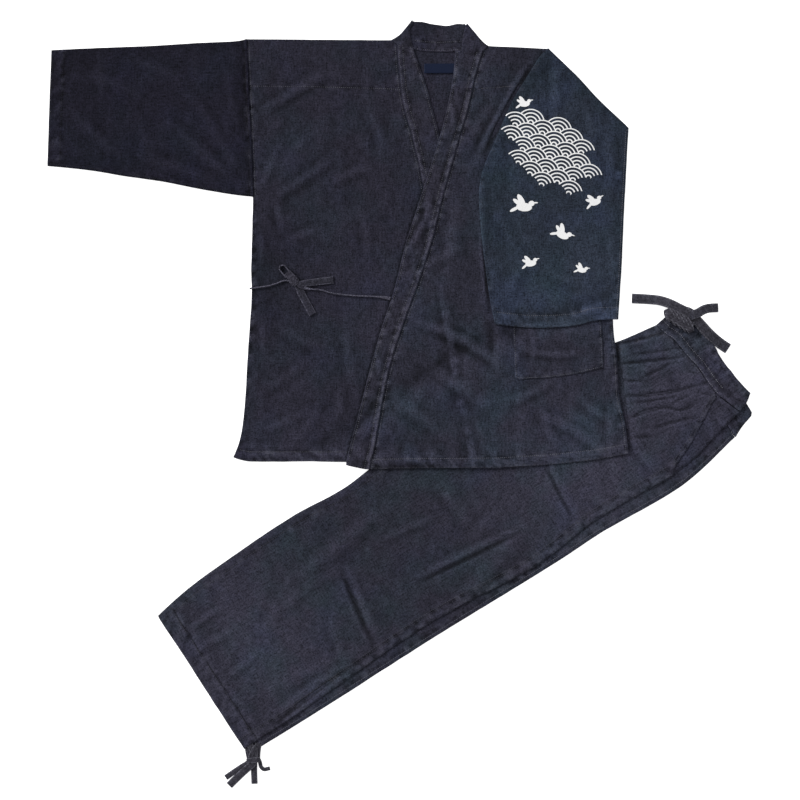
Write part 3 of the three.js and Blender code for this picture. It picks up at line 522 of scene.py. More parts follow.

# %% [markdown]
# ## Ties and drawstrings as ribbons
# A samue tie is a strip of the suit's own denim, folded lengthwise and edge-stitched. Each is swept
# along its route as a flat ribbon with rounded edges, and its real length is printed. Most keep their
# width level with the floor, which is how a flat strip lies. Loops and wraps turn, so their width
# direction is given all along.

# %% Routes of the ribbons, in metres
SIDE_CORD = [
    (-0.247, 0.158, 0.0046), (-0.232, 0.160, 0.0052), (-0.2155, 0.1625, 0.0052),
    (-0.202, 0.1668, 0.0052), (-0.190, 0.171, 0.0048), (-0.1805, 0.1702, 0.0048),
    (-0.1725, 0.1662, 0.0052), (-0.1654, 0.1574, 0.0042), (-0.160, 0.1465, 0.0038),
    (-0.1515, 0.131, 0.0038), (-0.1427, 0.1147, 0.0038),
]
BAND_CORD = [
    (-0.0143, 0.1414, 0.0046), (-0.032, 0.1442, 0.0052), (-0.055, 0.1454, 0.0052),
    (-0.0787, 0.1466, 0.0052), (-0.1089, 0.150, 0.0052), (-0.1295, 0.1556, 0.0052),
    (-0.1482, 0.1574, 0.0056), (-0.1595, 0.1606, 0.0066), (-0.165, 0.1640, 0.0074),
    (-0.1600, 0.1664, 0.0074), (-0.150, 0.1672, 0.0068), (-0.135, 0.1692, 0.0052),
    (-0.122, 0.1708, 0.0045), (-0.1089, 0.1722, 0.0042),
]
STRING_LEFT = [
    (0.4825, 0.1075, 0.0165), (0.4715, 0.1180, 0.0182), (0.4568, 0.1259, 0.0178),
    (0.4428, 0.1329, 0.0150), (0.4268, 0.1383, 0.0085), (0.4108, 0.1403, 0.0030),
    (0.3980, 0.1412, 0.0014), (0.3832, 0.1419, 0.0013),
]
STRING_LOWER = [
    (0.4520, 0.1120, 0.0150), (0.4600, 0.1180, 0.0158), (0.4690, 0.1205, 0.0165),
    (0.4775, 0.1170, 0.0165), (0.4845, 0.1095, 0.0155), (0.4925, 0.1008, 0.0135),
    (0.5016, 0.0906, 0.0115), (0.5118, 0.0806, 0.0095), (0.5262, 0.0692, 0.0042),
    (0.5418, 0.0589, 0.0013),
]
HEM_STRINGS = {
    "hem_tie_end_1": [
        (-0.2462, -0.5975, 0.0030), (-0.2452, -0.608, 0.0026), (-0.2455, -0.6185, 0.0022),
        (-0.2514, -0.6252, 0.0013), (-0.2596, -0.6302, 0.0011), (-0.272, -0.6384, 0.0011),
        (-0.2865, -0.6484, 0.0011),
    ],
    "hem_tie_end_2": [
        (-0.2395, -0.5985, 0.0052), (-0.2385, -0.608, 0.0050), (-0.2390, -0.6175, 0.0047),
        (-0.2436, -0.6264, 0.0042), (-0.2526, -0.634, 0.0039), (-0.266, -0.6466, 0.0026),
        (-0.2808, -0.6613, 0.0012),
    ],
    "hem_tie_end_3": [
        (-0.2420, -0.5955, 0.0032), (-0.2406, -0.606, 0.0030), (-0.2398, -0.6155, 0.0024),
        (-0.2396, -0.6224, 0.0013), (-0.2398, -0.634, 0.0011), (-0.2396, -0.646, 0.0011),
        (-0.2392, -0.6585, 0.0011),
    ],
    "hem_tie_end_4": [
        (-0.2352, -0.5975, 0.0030), (-0.2348, -0.6065, 0.0026), (-0.2336, -0.615, 0.0022),
        (-0.2304, -0.6226, 0.0012), (-0.2284, -0.6305, 0.0011), (-0.2234, -0.6348, 0.0011),
        (-0.2137, -0.6328, 0.0011),
    ],
}


# %% Ribbon tools
RIBBON_STEP = 0.0015
TIE_WIDTH = 0.013
EDGE_ON_WIDTH = 0.0026
THIN_BELOW = 0.006
TIE_THICK = 0.0019


def run_along(line):
    """How far along a line each of its points lies."""
    return np.concatenate([[0], np.cumsum(np.linalg.norm(np.diff(line, axis=0), axis=1))])


def points_at(line, places):
    """The points of a line at given distances along it."""
    run = run_along(line)
    return np.stack([np.interp(places, run, values) for values in line.T], axis=1)


def smooth_route(route):
    """Points a ribbon step apart on a smooth line through the route, all in metres."""
    points = np.array(route, float)
    padded = np.vstack([2 * points[0] - points[1], points, 2 * points[-1] - points[-2]])
    fine = []
    for a, b, c, d in zip(padded, padded[1:], padded[2:], padded[3:]):
        for t in np.linspace(0, 1, 24, endpoint=False):
            curved = (2 * a - 5 * b + 4 * c - d) * t**2 + (3 * b - a - 3 * c + d) * t**3
            fine.append(0.5 * (2 * b + (c - a) * t + curved))
    fine.append(points[-1])
    fine = np.array(fine)
    whole = run_along(fine)[-1]
    return points_at(fine, np.linspace(0, whole, max(4, int(round(whole / RIBBON_STEP)) + 1)))


def length_of(points):
    return float(run_along(points)[-1])


def ribbon_section(wide, thick):
    """The outline across a folded strip: flat faces, round edges and a faint ridge at its fold."""
    half = wide / 2
    side = thick / 2
    crown = thick * 0.12
    across = [-half + side, -half * 0.62, -half * 0.5, 0, half * 0.5, half * 0.62, half - side]
    upper = [(x, side + (crown if abs(x) < half * 0.55 else 0)) for x in across]
    lower = [(x, -side) for x in reversed(across)]
    turn_right = [(half - side * 0.3, side * 0.7), (half, 0), (half - side * 0.3, -side * 0.7)]
    turn_left = [(-half + side * 0.3, -side * 0.7), (-half, 0), (-half + side * 0.3, side * 0.7)]
    return np.array(upper + turn_right + lower + turn_left)


def ribbon_wear_and_shade(flat, wide, wave):
    """How rubbed a strip is across its width, beside its edges most, and its painted shade: dark at its side
    edges, painted light on thin edge-on runs.
    """
    away = np.abs(flat)
    edge = np.where((away > 0.7) & (away < 0.97), 0.62, 0.0)
    thin = 0.8 if wide < THIN_BELOW else 0.0
    # Painted shade at the side edges; thin edge-on runs are painted light as well as rubbed.
    return np.clip(0.04 + 0.14 * wave + edge + thin, 0, 1), np.where(away > 0.97, -1.0, thin * 0.7)


def finish_mesh(made, grain, wear, relief=None):
    """Smooth shading, the grain map, the wear map and the painted shade map of a new mesh."""
    mesh = made.data
    layer = mesh.uv_layers.new(name="grain")
    corners = np.empty(len(mesh.loops), np.int32)
    mesh.loops.foreach_get("vertex_index", corners)
    layer.data.foreach_set("uv", np.asarray(grain, np.float32)[corners].ravel())
    for label, values in (("wear", wear), ("relief", relief)):
        if values is not None:
            attribute = mesh.attributes.new(label, "FLOAT", "POINT")
            attribute.data.foreach_set("value", np.asarray(values, np.float32).ravel())
    mesh.polygons.foreach_set("use_smooth", np.ones(len(mesh.polygons), bool))
    mesh.update()


def ribbon_mesh(name, path, sides, ups, widths, thick, material, wave, lifting, closed=False):
    """A section of a strip at each point of a path, all joined. lifting says how its face waves."""
    count = len(path)
    run = run_along(path)
    points = []
    grain = []
    worn_and_shaded = []
    for i in range(count):
        section = ribbon_section(widths[i], thick)
        flat = np.clip(section[:, 0] / (widths[i] / 2), -1, 1)
        worn_and_shaded.append(ribbon_wear_and_shade(flat, widths[i], wave[i]))
        lift = thick * lifting(flat, wave[i]) * (section[:, 1] > 0)
        points.append(path[i] + section[:, :1] * sides[i] + (section[:, 1] + lift)[:, None] * ups[i])
        grain.append(np.stack([run_along(section), np.full(len(section), run[i])], axis=1))
    rings = len(points[0])
    faces = []
    for i in range(count if closed else count - 1):
        j = (i + 1) % count
        for k in range(rings):
            m = (k + 1) % rings
            faces.append((i * rings + k, i * rings + m, j * rings + m, j * rings + k))
    if not closed:
        faces.append(tuple(reversed(range(rings))))
        faces.append(tuple((count - 1) * rings + k for k in range(rings)))
    made = mesh_object(name, np.vstack(points), faces, material)
    wear, relief = np.hstack(worn_and_shaded)
    finish_mesh(made, np.vstack(grain), wear, relief)
    return made


def unit_rows(vectors):
    return vectors / np.maximum(np.linalg.norm(vectors, axis=1), 1e-9)[:, None]


def level_side(ahead):
    """The directions beside a path that are level with the floor."""
    return unit_rows(np.stack([ahead[:, 1], -ahead[:, 0], np.zeros(len(ahead))], axis=1))


def sweep_ribbon(name, path, widths, thick, material, seed, roll=0.0):
    """A ribbon along a path, with a width in metres for each point of it, rolled by a share of a turn."""
    draw = np.random.default_rng(seed)
    ahead = unit_rows(np.gradient(path, axis=0))
    side = level_side(ahead)
    up = np.cross(side, ahead)
    angle = roll * 2 * math.pi
    side, up = side * math.cos(angle) + up * math.sin(angle), up * math.cos(angle) - side * math.sin(angle)
    wave = sum(
        np.sin(2 * np.pi * run_along(path) / pitch + draw.uniform(0, 6.28)) * share
        for pitch, share in ((0.011, 0.5), (0.019, 0.35), (0.0067, 0.3))
    )

    def lifting(flat, level):
        return 0.07 * level * np.sin(3.1 * flat + 0.8 * level)

    return ribbon_mesh(name, path, side, up, widths, thick, material, wave, lifting)


def sweep_with_side(name, path, sides, widths, thick, material, seed, closed=False):
    """A ribbon whose width direction is given at every point, for loops and wraps."""
    draw = np.random.default_rng(seed)
    ahead = np.roll(path, -1, 0) - np.roll(path, 1, 0) if closed else np.gradient(path, axis=0)
    up = unit_rows(np.cross(sides, unit_rows(ahead)))
    wave = np.sin(2 * np.pi * run_along(path) / 0.012 + draw.uniform(0, 6.28))
    if closed:
        wave = np.sin(np.linspace(0, 2 * np.pi * 4, len(path), endpoint=False) + draw.uniform(0, 6.28))

    def lifting(flat, level):
        return 0.16 * np.sin(7.5 * flat + level)

    return ribbon_mesh(name, path, sides, up, widths, thick, material, wave, lifting, closed)


def joined(name, parts):
    """Several mesh objects made one."""
    with bpy.context.temp_override(active_object=parts[0], selected_editable_objects=parts):
        bpy.ops.object.join()
    parts[0].name = name
    parts[0].data.name = name
    return parts[0]


def strip(name, route, stops, thick, material, seed, roll=0.0):
    """A ribbon along a route and its path, with widths from rows of (share of the way, width)."""
    path = smooth_route(route)
    shares, sizes = zip(*stops)
    widths = np.interp(np.linspace(0, 1, len(path)), shares, sizes)
    return sweep_ribbon(name, path, widths, thick, material, seed, roll), path


# %% [markdown]
# ### The jacket's bow
# One tie comes from the side seam and one from the neckband. Pulled tight, each lies on its edge as a
# thin line, and they meet in a bow: one loop, two flat ends and a knot of several wraps.

# %% Jacket ties
SIDE_STOPS = [(0, EDGE_ON_WIDTH), (0.5, EDGE_ON_WIDTH), (0.6, 0.009), (0.68, TIE_WIDTH), (1, TIE_WIDTH)]
BAND_STOPS = [
    (0, 0.006), (0.12, EDGE_ON_WIDTH), (0.62, EDGE_ON_WIDTH), (0.72, 0.008), (0.8, 0.0115), (1, 0.0125),
]
side_cord, side_path = strip("jacket_tie_side", SIDE_CORD, SIDE_STOPS, TIE_THICK, DENIM_TIE, 11)
band_cord, band_path = strip("jacket_tie_band", BAND_CORD, BAND_STOPS, TIE_THICK, DENIM_TIE, 12)
print("jacket ties:", round(length_of(side_path), 3), "m and", round(length_of(band_path), 3), "m")


# %% Loops and knots
WRAP_POINTS = 40
WRAP_SWAY = 0.0006


def loop_ribbon(name, route, wide, thick, gap, material, seed):
    """A strip that runs out along a route, turns round at its tip and comes back on top of itself."""
    out = smooth_route(route)
    share = np.linspace(0, 1, len(out))[:, None]
    rise = np.array([0, 0, 1.0])
    opening = rise * gap / 2 * np.sin(np.pi * (0.25 + 0.55 * share))
    low = out - opening
    high = out + opening
    forward = (out[-1] - out[-2]) / np.linalg.norm(out[-1] - out[-2])
    tip_gap = np.linalg.norm(high[-1] - low[-1]) / 2
    middle = (high[-1] + low[-1]) / 2
    turns = [
        middle + forward * tip_gap * 1.6 * math.sin(a) - rise * tip_gap * math.cos(a)
        for a in np.linspace(0.25, math.pi - 0.25, 7)
    ]
    path = np.vstack([low, turns, high[::-1]])
    flat = level_side(np.gradient(out, axis=0))
    sides = np.vstack([flat, np.repeat(flat[-1:], len(turns), 0), flat[::-1]])
    return sweep_with_side(name, path, sides, np.full(len(path), wide), thick, material, seed)


def wrap_ribbon(name, centre, long_axis, half_long, half_up, wide, thick, material, seed, tilt=0.0):
    """One turn of a strip wound over a knot, as a closed band round the axis across long_axis."""
    angles = np.linspace(0, 2 * np.pi, WRAP_POINTS, endpoint=False)
    along = np.array([math.cos(long_axis), math.sin(long_axis), 0])
    across = np.array([-math.sin(long_axis), math.cos(long_axis), 0])
    lean = across + np.array([0, 0, tilt])
    lean /= np.linalg.norm(lean)
    path = np.array(centre) + np.outer(np.cos(angles), along * half_long)
    path[:, 2] += np.sin(angles) * half_up
    path += np.outer(np.sin(angles + seed), across * WRAP_SWAY)
    sides = np.repeat(lean[None, :], len(angles), 0)
    widths = wide * (1 - 0.14 * np.cos(angles * 2))
    return sweep_with_side(name, path, -sides, widths, thick, material, seed, closed=True)


LOOP_WAY = [
    (-0.172, 0.1700, 0.0082), (-0.1755, 0.1738, 0.008), (-0.1790, 0.1776, 0.0077),
    (-0.1842, 0.1832, 0.0072),
]
OPEN_TIP = [
    (-0.1868, 0.1760, 0.0064), (-0.1925, 0.1830, 0.0062), (-0.1975, 0.1896, 0.0060),
    (-0.1962, 0.1948, 0.0058), (-0.1898, 0.1956, 0.0060), (-0.1838, 0.1890, 0.0064),
    (-0.1790, 0.1836, 0.0066),
]
flat_loop = loop_ribbon("loop_flat", LOOP_WAY, TIE_WIDTH, 0.0013, 0.003, DENIM_TIE, 13)
TIP_STOPS = [(0, 0.0055), (1, 0.0055)]
open_tip, _ = strip("loop_tip", OPEN_TIP, TIP_STOPS, TIE_THICK, DENIM_TIE, 17, roll=0.25)
jacket_loop = joined("jacket_tie_loop", [flat_loop, open_tip])
KNOT_AT = (-0.1735, 0.1705, 0.0066)
# Each wrap lies at an angle and has half its length, half its height, its width and its thickness.
KNOT_WRAPS = [
    (38, 0.0072, 0.0032, 0.0105, 0.0017),
    (38, 0.0046, 0.0022, 0.0135, 0.0018),
    (-28, 0.0078, 0.0024, 0.0095, 0.0016),
]
jacket_knot = joined(
    "jacket_tie_knot",
    [
        wrap_ribbon("knot_wrap", KNOT_AT, math.radians(lies), *sizes, DENIM_TIE, seed)
        for seed, (lies, *sizes) in enumerate(KNOT_WRAPS, 14)
    ],
)
print("bow:", jacket_loop.name, jacket_knot.name)

# %% [markdown]
# ### The waist drawstring
# The trousers' drawstring is a wider strip of the same cloth. It comes out at the corner of the
# waistband and is tied there in a fat half bow, with a loop to the right and two long ends.

# %% Waist drawstring
STRING_THICK = 0.0021
LEFT_STOPS = [(0, 0.013), (0.2, 0.0155), (1, 0.0165)]
LOWER_STOPS = [(0, 0.012), (0.2, 0.015), (0.5, 0.0178), (1, 0.0178)]
string_left, string_left_path = strip(
    "drawstring_left", STRING_LEFT, LEFT_STOPS, STRING_THICK, DENIM_STRING, 21,
)
string_lower, string_lower_path = strip(
    "drawstring_lower", STRING_LOWER, LOWER_STOPS, STRING_THICK, DENIM_STRING, 22,
)
string_loop = loop_ribbon(
    "drawstring_bow",
    [(0.4760, 0.1120, 0.0172), (0.4830, 0.1145, 0.0172), (0.4900, 0.1172, 0.0166), (0.4990, 0.1222, 0.0130),
     (0.5069, 0.1249, 0.0085), (0.5150, 0.1260, 0.0050), (0.5232, 0.1264, 0.0034)],
    0.0150, 0.0014, 0.0034, DENIM_STRING, 23,
)
WAIST_KNOT_AT = np.array([0.4600, 0.1050, 0.0150])
KNOT_LIES = math.radians(-28)
KNOT_TURNS_BACK = math.radians(-64)
KNOT_TURNS = [(-0.0190, 0.0100), (-0.0105, 0.0128), (-0.0015, 0.0142), (0.0075, 0.0140), (0.0160, 0.0118)]
knot_way = np.array([math.cos(KNOT_LIES), math.sin(KNOT_LIES), 0])
knot_wraps = [wrap_ribbon("core", WAIST_KNOT_AT, KNOT_LIES, 0.0235, 0.0034, 0.0150, 0.0022, DENIM_STRING, 24)]
for seed, (along, half) in enumerate(KNOT_TURNS, 25):
    place = WAIST_KNOT_AT + knot_way * along
    knot_wraps.append(
        wrap_ribbon(
            "turn", place, KNOT_TURNS_BACK, half, 0.0048, 0.0122, STRING_THICK, DENIM_STRING, seed, 0.24
        )
    )
waist_knot = joined("drawstring_knot_wraps", knot_wraps)
print("drawstring:", round(length_of(string_left_path), 3), round(length_of(string_lower_path), 3))

# %% [markdown]
# ### The leg hems' ties
# Each leg hem is a casing with a string. Folded in half, the two hems meet at one corner, where their
# strings are wound into a short bundle that ends in four flat tails.

# %% Hem ties
HEM_WIDTHS = {
    "hem_tie_end_1": 0.0092, "hem_tie_end_2": 0.0124, "hem_tie_end_3": 0.0104, "hem_tie_end_4": 0.0066,
}
hem_strings = {}
hem_paths = {}
for seed, (name, route) in enumerate(HEM_STRINGS.items(), 31):
    wide = HEM_WIDTHS[name]
    stops = [(0, wide * 0.8), (0.3, wide), (1, wide)]
    hem_strings[name], hem_paths[name] = strip(name + "_strip", route, stops, 0.0018, DENIM_STRING, seed)
print("hem ties:", {k: round(length_of(p), 3) for k, p in hem_paths.items()})


# %% Hem bundle
BUNDLE = [
    (0.011, [(-0.2505, -0.590, 0.0024), (-0.2490, -0.604, 0.0026), (-0.2455, -0.621, 0.0020)]),
    (0.011, [(-0.2325, -0.591, 0.0024), (-0.2345, -0.605, 0.0026), (-0.2355, -0.621, 0.0022)]),
    (0.0105, [(-0.2465, -0.5935, 0.0046), (-0.2415, -0.606, 0.0052), (-0.2375, -0.6225, 0.0046)]),
    (0.0075, [(-0.2365, -0.5955, 0.0058), (-0.2435, -0.6075, 0.0064), (-0.2475, -0.6205, 0.0048)]),
]
BUNDLE_WRAP_AT = (-0.2412, -0.6190, 0.0042)
strands = [
    strip("strand", route, [(0, wide), (1, wide)], STRING_THICK, DENIM_STRING, seed)[0]
    for seed, (wide, route) in enumerate(BUNDLE, 41)
]
strands.append(wrap_ribbon("wrap", BUNDLE_WRAP_AT, 0.06, 0.0104, 0.0032, 0.0085, 0.0016, DENIM_STRING, 45))
hem_bundle = joined("hem_tie_bundle", strands)
print("hem bundle:", len(hem_bundle.data.polygons), "faces")

# %% [markdown]
# ## From the frame's solids to sheets of cloth
# Each panel of the frame is a slab with the garment's true outline and place. A real panel is a thin
# sheet with a rolled edge, fine creases and puckered seams. So the outline and the heights are read
# from the slab, a close net of triangles is laid inside the outline, and the sheet is lifted over
# whatever already lies below it. A field of heights on a square grid keeps the top of the pile.

# %% The frame's outlines
FACING_UP = 0.3
LARGE_SHARE = 0.2


def frame_mesh(node):
    """A frame node's points in millimetres, doubles merged, and its triangles."""
    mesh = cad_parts[node].data
    places = np.empty(len(mesh.vertices) * 3)
    mesh.vertices.foreach_get("co", places)
    places = places.reshape(-1, 3) / MM
    keys, where = np.unique(np.round(places, 2), axis=0, return_inverse=True)
    mesh.calc_loop_triangles()
    triangles = np.empty(len(mesh.loop_triangles) * 3, np.int32)
    mesh.loop_triangles.foreach_get("vertices", triangles)
    triangles = where.ravel()[triangles].reshape(-1, 3)
    whole = (triangles[:, 0] != triangles[:, 1]) & (triangles[:, 1] != triangles[:, 2])
    whole &= triangles[:, 0] != triangles[:, 2]
    return keys, triangles[whole]


def open_edges(triangles):
    """The directed edges that only one triangle uses, as a step from each point to the next."""
    used = set()
    for a, b, c in triangles.tolist():
        used.update(((a, b), (b, c), (c, a)))
    return {a: b for a, b in used if (b, a) not in used}


def longest_loop(steps):
    """The loop of the most points among chained edges."""
    left = dict(steps)
    best = []
    while left:
        start = next(iter(left))
        loop = [start]
        here = left.pop(start)
        while here != start and here in left:
            loop.append(here)
            here = left.pop(here)
        if len(loop) > len(best):
            best = loop
    return best


def upper_triangles(points, triangles):
    """The upward-facing triangles of a slab's top, without the floor of its hollow."""
    a, b, c = (points[triangles[:, k]] for k in range(3))
    normal = np.cross(b - a, c - a)
    area = np.linalg.norm(normal, axis=1)
    facing = normal[:, 2] > FACING_UP * area
    upper = triangles[facing]
    weight = area[facing]
    label = np.arange(len(points))
    while True:
        lowest = label[upper].min(axis=1)
        before = label.copy()
        for k in range(3):
            np.minimum.at(label, upper[:, k], lowest)
        if (before == label).all():
            break
    groups = label[upper[:, 0]]
    names = [g for g in np.unique(groups) if weight[groups == g].sum() > LARGE_SHARE * weight.sum()]
    best = max(names, key=lambda g: points[upper[groups == g]][..., 2].mean())
    return upper[groups == best]


def frame_outline(node):
    points, triangles = frame_mesh(node)
    loop = longest_loop(open_edges(upper_triangles(points, triangles)))
    return points[loop][:, :2]


OUTLINES = {
    name: frame_outline(name)
    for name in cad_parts
    if not name.startswith(("tie_", "drawstring_", "hem_tie_"))
}
print("outlines:", {name: len(loop) for name, loop in OUTLINES.items()})


# %% Lines on the cloth
NOISE_TABLE = (97, 89)
CORNER_TURN = math.radians(24)


def lattice_noise(points, size, seed):
    """Smooth noise from -1 to 1 whose bumps are about a size across, in millimetres."""
    table = np.random.default_rng(seed).uniform(-1, 1, NOISE_TABLE)
    wide, long = NOISE_TABLE
    scaled = np.asarray(points, float) / size
    cell = np.floor(scaled).astype(int)
    part = scaled - cell
    part = part * part * (3 - 2 * part)
    x, y = cell[:, 0], cell[:, 1]
    corner = [table[(x + i) % wide, (y + j) % long] for j in (0, 1) for i in (0, 1)]
    lower = corner[0] + (corner[1] - corner[0]) * part[:, 0]
    upper = corner[2] + (corner[3] - corner[2]) * part[:, 0]
    return lower + (upper - lower) * part[:, 1]


def even_steps(line, step, closed=False):
    """A line cut into pieces of about one step, its own points kept only where it turns sharply."""
    line = np.asarray(line, float)
    ring = np.vstack([line, line[:1]]) if closed else line
    made = []
    for a, b in zip(ring[:-1], ring[1:]):
        count = max(1, int(round(np.linalg.norm(b - a) / step)))
        made.extend(a + (b - a) * k / count for k in range(count))
    if not closed:
        made.append(ring[-1])
    return np.array(made)


def ways_out(outline):
    """The direction out of the cloth at each point of its outline."""
    ahead = np.roll(outline, -1, 0) - np.roll(outline, 1, 0)
    return unit_rows(np.stack([ahead[:, 1], -ahead[:, 0]], axis=1))


def cloth_edge(loop, spacing, sway):
    """A frame outline as a cut or folded edge of cloth: even points, soft curves, true corners."""
    before = loop - np.roll(loop, 1, 0)
    after = np.roll(loop, -1, 0) - loop
    bend = before[:, 0] * after[:, 1] - before[:, 1] * after[:, 0]
    turn = np.abs(np.arctan2(bend, (before * after).sum(1)))
    corners = loop[turn > CORNER_TURN]
    fine = even_steps(loop, spacing, closed=True)
    is_corner = np.zeros(len(fine), bool)
    for corner in corners:
        is_corner[np.argmin(np.linalg.norm(fine - corner, axis=1))] = True
    kept = []
    for point, sharp in zip(fine, is_corner):
        if sharp and kept and np.linalg.norm(point - kept[-1][0]) < 0.5 * spacing and not kept[-1][1]:
            kept.pop()
        if sharp or not kept or np.linalg.norm(point - kept[-1][0]) > 0.5 * spacing:
            kept.append((point, sharp))
    if np.linalg.norm(kept[0][0] - kept[-1][0]) < 0.5 * spacing:
        kept.pop()
    edge = np.array([point for point, _ in kept])
    free = np.array([0.0 if sharp else 1.0 for _, sharp in kept])
    for _ in range(6):
        edge += 0.5 * free[:, None] * ((np.roll(edge, 1, 0) + np.roll(edge, -1, 0)) / 2 - edge)
    if sway:
        wave = lattice_noise(edge, 16.0, 1) * 0.6 + lattice_noise(edge, 47.0, 2) * 0.8
        calm = np.minimum(free, np.minimum(np.roll(free, 1), np.roll(free, -1)))
        edge += ways_out(edge) * (wave * sway * calm)[:, None]
    return edge


def pushed(outline, start, end, amount):
    """An outline with one stretch of it moved outwards, to meet the cloth it is sewn to."""
    index, away, *_ = line_frame(outline, part_of(outline, start, end, 4.0), 4.0)
    chosen = index[away < 0.8]
    moved = outline.copy()
    moved[chosen] += ways_out(outline)[chosen] * amount
    return moved


def part_of(outline, start, end, step=12.0):
    """The stretch of an outline, counter-clockwise, from the point nearest start to that nearest end."""
    first = int(np.argmin(np.linalg.norm(outline - start, axis=1)))
    last = int(np.argmin(np.linalg.norm(outline - end, axis=1)))
    order = [(first + k) % len(outline) for k in range((last - first) % len(outline) + 1)]
    line = outline[order]
    whole = run_along(line)[-1]
    return points_at(line, np.linspace(0, whole, max(2, int(whole / step) + 1)))


def inward(line, distance):
    """A stretch of an outline moved into the cloth."""
    ahead = np.gradient(line, axis=0)
    return line + unit_rows(np.stack([-ahead[:, 1], ahead[:, 0]], axis=1)) * distance


def line_frame(points, line, reach):
    """The points within reach of a line: how far off it each is, how far along, and on which side."""
    line = np.asarray(line, float)
    x, y = points.T
    near = np.flatnonzero((x > line[:, 0].min() - reach) & (x < line[:, 0].max() + reach))
    order = near[np.argsort(y[near], kind="stable")]
    sorted_y = y[order]
    away = np.full(len(points), np.inf)
    along = np.zeros(len(points))
    side = np.ones(len(points))
    run = 0.0
    for a, b in zip(line[:-1], line[1:]):
        step = b - a
        long = max(math.hypot(*step), 1e-6)
        first, last = np.searchsorted(sorted_y, [min(a[1], b[1]) - reach, max(a[1], b[1]) + reach])
        chosen = order[first:last]
        chosen = chosen[(x[chosen] > min(a[0], b[0]) - reach) & (x[chosen] < max(a[0], b[0]) + reach)]
        right, up = x[chosen] - a[0], y[chosen] - a[1]
        share = np.clip((right * step[0] + up * step[1]) / (long * long), 0, 1)
        gap = np.hypot(right - share * step[0], up - share * step[1])
        closer = gap < away[chosen]
        index = chosen[closer]
        away[index] = gap[closer]
        along[index] = run + share[closer] * long
        side[index] = np.where(step[0] * up[closer] > step[1] * right[closer], 1.0, -1.0)
        run += long
    index = np.flatnonzero(away < reach)
    return index, away[index], along[index], side[index], run


# %% [markdown]
# ## Creases, hems and seams
# Relief is added to a sheet in three ways. A crease is a soft ridge on a short curved line, with a
# shallow trough on its lee side. A hem is a doubled border, a step up in thickness that ropes a
# little. A seam pulls the cloth into a fine groove and puckers it on both sides. Every feature also
# says how rubbed it is, for the wear map.

# %% Relief features
WASH_STRETCH = np.array([1.0, 0.6])
TROUGH_SHARE = 0.42
CREASE_WEAR = 0.1
GROOVE_HALF = 1.3


def smoothstep(value, low, high):
    share = np.clip((value - low) / (high - low), 0, 1)
    return share * share * (3 - 2 * share)


def beside(line, reach, shape):
    """A feature within reach of a line, whose height and wear come from where a point lies by it."""

    def at(points):
        height = np.zeros(len(points))
        wear = np.zeros(len(points))
        index, *place = line_frame(points, line, reach)
        height[index], wear[index] = shape(*place)
        return height, wear

    return at


def crease(start, middle, end, high, half):
    """A soft ridge along a curve, deepest near its middle, with a trough on its right side."""
    a, b, c = (np.array(p, float) for p in (start, middle, end))
    line = np.array([(1 - t) ** 2 * a + 2 * t * (1 - t) * b + t * t * c for t in np.linspace(0, 1, 9)])

    def shape(away, along, side, whole):
        window = np.sin(np.pi * np.clip(along / whole, 0.02, 0.98)) ** 0.7
        crest = np.clip(1 - away / half, 0, 1)
        lee = np.clip(1 - np.abs(away / half - 0.95) / 0.9, 0, 1) * (side < 0)
        profile = crest**2 * (3 - 2 * crest) - TROUGH_SHARE * lee**2 * (3 - 2 * lee)
        return high * window * profile, CREASE_WEAR * window * crest**3

    return beside(line, half * 2.2, shape)


def puckers(place, pitch, seed, finer):
    """Uneven waves of two sizes, given by how far along and off a line a point lies."""
    return lattice_noise(place, pitch, seed) + 0.4 * lattice_noise(place, pitch * 0.45, seed + finer)


def seam(line, groove=0.45, pucker=0.4, reach=6.5, pitch=7.0, wear_share=0.7, seed=1):
    """A sewn line: a fine groove, with puckers that cross it and fade within the reach."""

    def shape(away, along, side, _):
        wave = puckers(np.stack([along + 0.25 * away * side, away * side * 0.55], axis=1), pitch, seed, 5)
        sunk = groove * np.exp(-((away / GROOVE_HALF) ** 2))
        height = pucker * wave * np.exp(-((away / reach) ** 2)) - sunk
        return height, wear_share * np.clip(wave, 0, 1) * np.exp(-((away / (reach * 0.75)) ** 2))

    return beside(line, reach * 2, shape)


def hem(edge, deep, high=0.8, rope=0.32, pitch=8.0, wear_share=0.55, seed=1):
    """A doubled border along an edge, as deep as its stitch line lies, with slanting ropes."""

    def shape(away, along, *_):
        share = 1 - smoothstep(away, deep - 1.0, deep + 1.6)
        wave = puckers(np.stack([along + 0.8 * away, away * 0.5], axis=1), pitch, seed, 3)
        wear = 0.5 * share * np.clip(wave, 0, 1) + 0.7 * np.exp(-((away / 1.6) ** 2))
        return share * (high + rope * wave), wear_share * wear

    return beside(edge, deep + 6, shape)


def washed(seed, high=0.3, size=26.0):
    """The small uneven waves that washing leaves all over a cloth."""

    def at(points):
        place = points * WASH_STRETCH
        broad = lattice_noise(place, size, seed)
        small = lattice_noise(place, size * 0.42, seed + 2)
        ridge = 1 - np.abs(lattice_noise(place + 3.0 * broad[:, None], size * 0.8, seed + 4))
        height = high * (0.9 * broad + 0.6 * small + 0.4 * ridge**4 - 0.1)
        return height, np.zeros(len(points))

    return at


def relief_of(features):
    def at(points):
        height = np.zeros(len(points))
        wear = np.zeros(len(points))
        for feature in features:
            more, rubbed = feature(points)
            height += more
            wear += rubbed
        return height, np.clip(wear, 0, 1)

    return at


# %% Height fields
CELL = 3.0
FIELD_LOW = np.array([-612.0, -690.0])
FIELD_ROWS = 440
FIELD_COLUMNS = 412
CLEAR = 0.3
RAY_TOP = 100.0
RAY_BOTTOM = -50.0

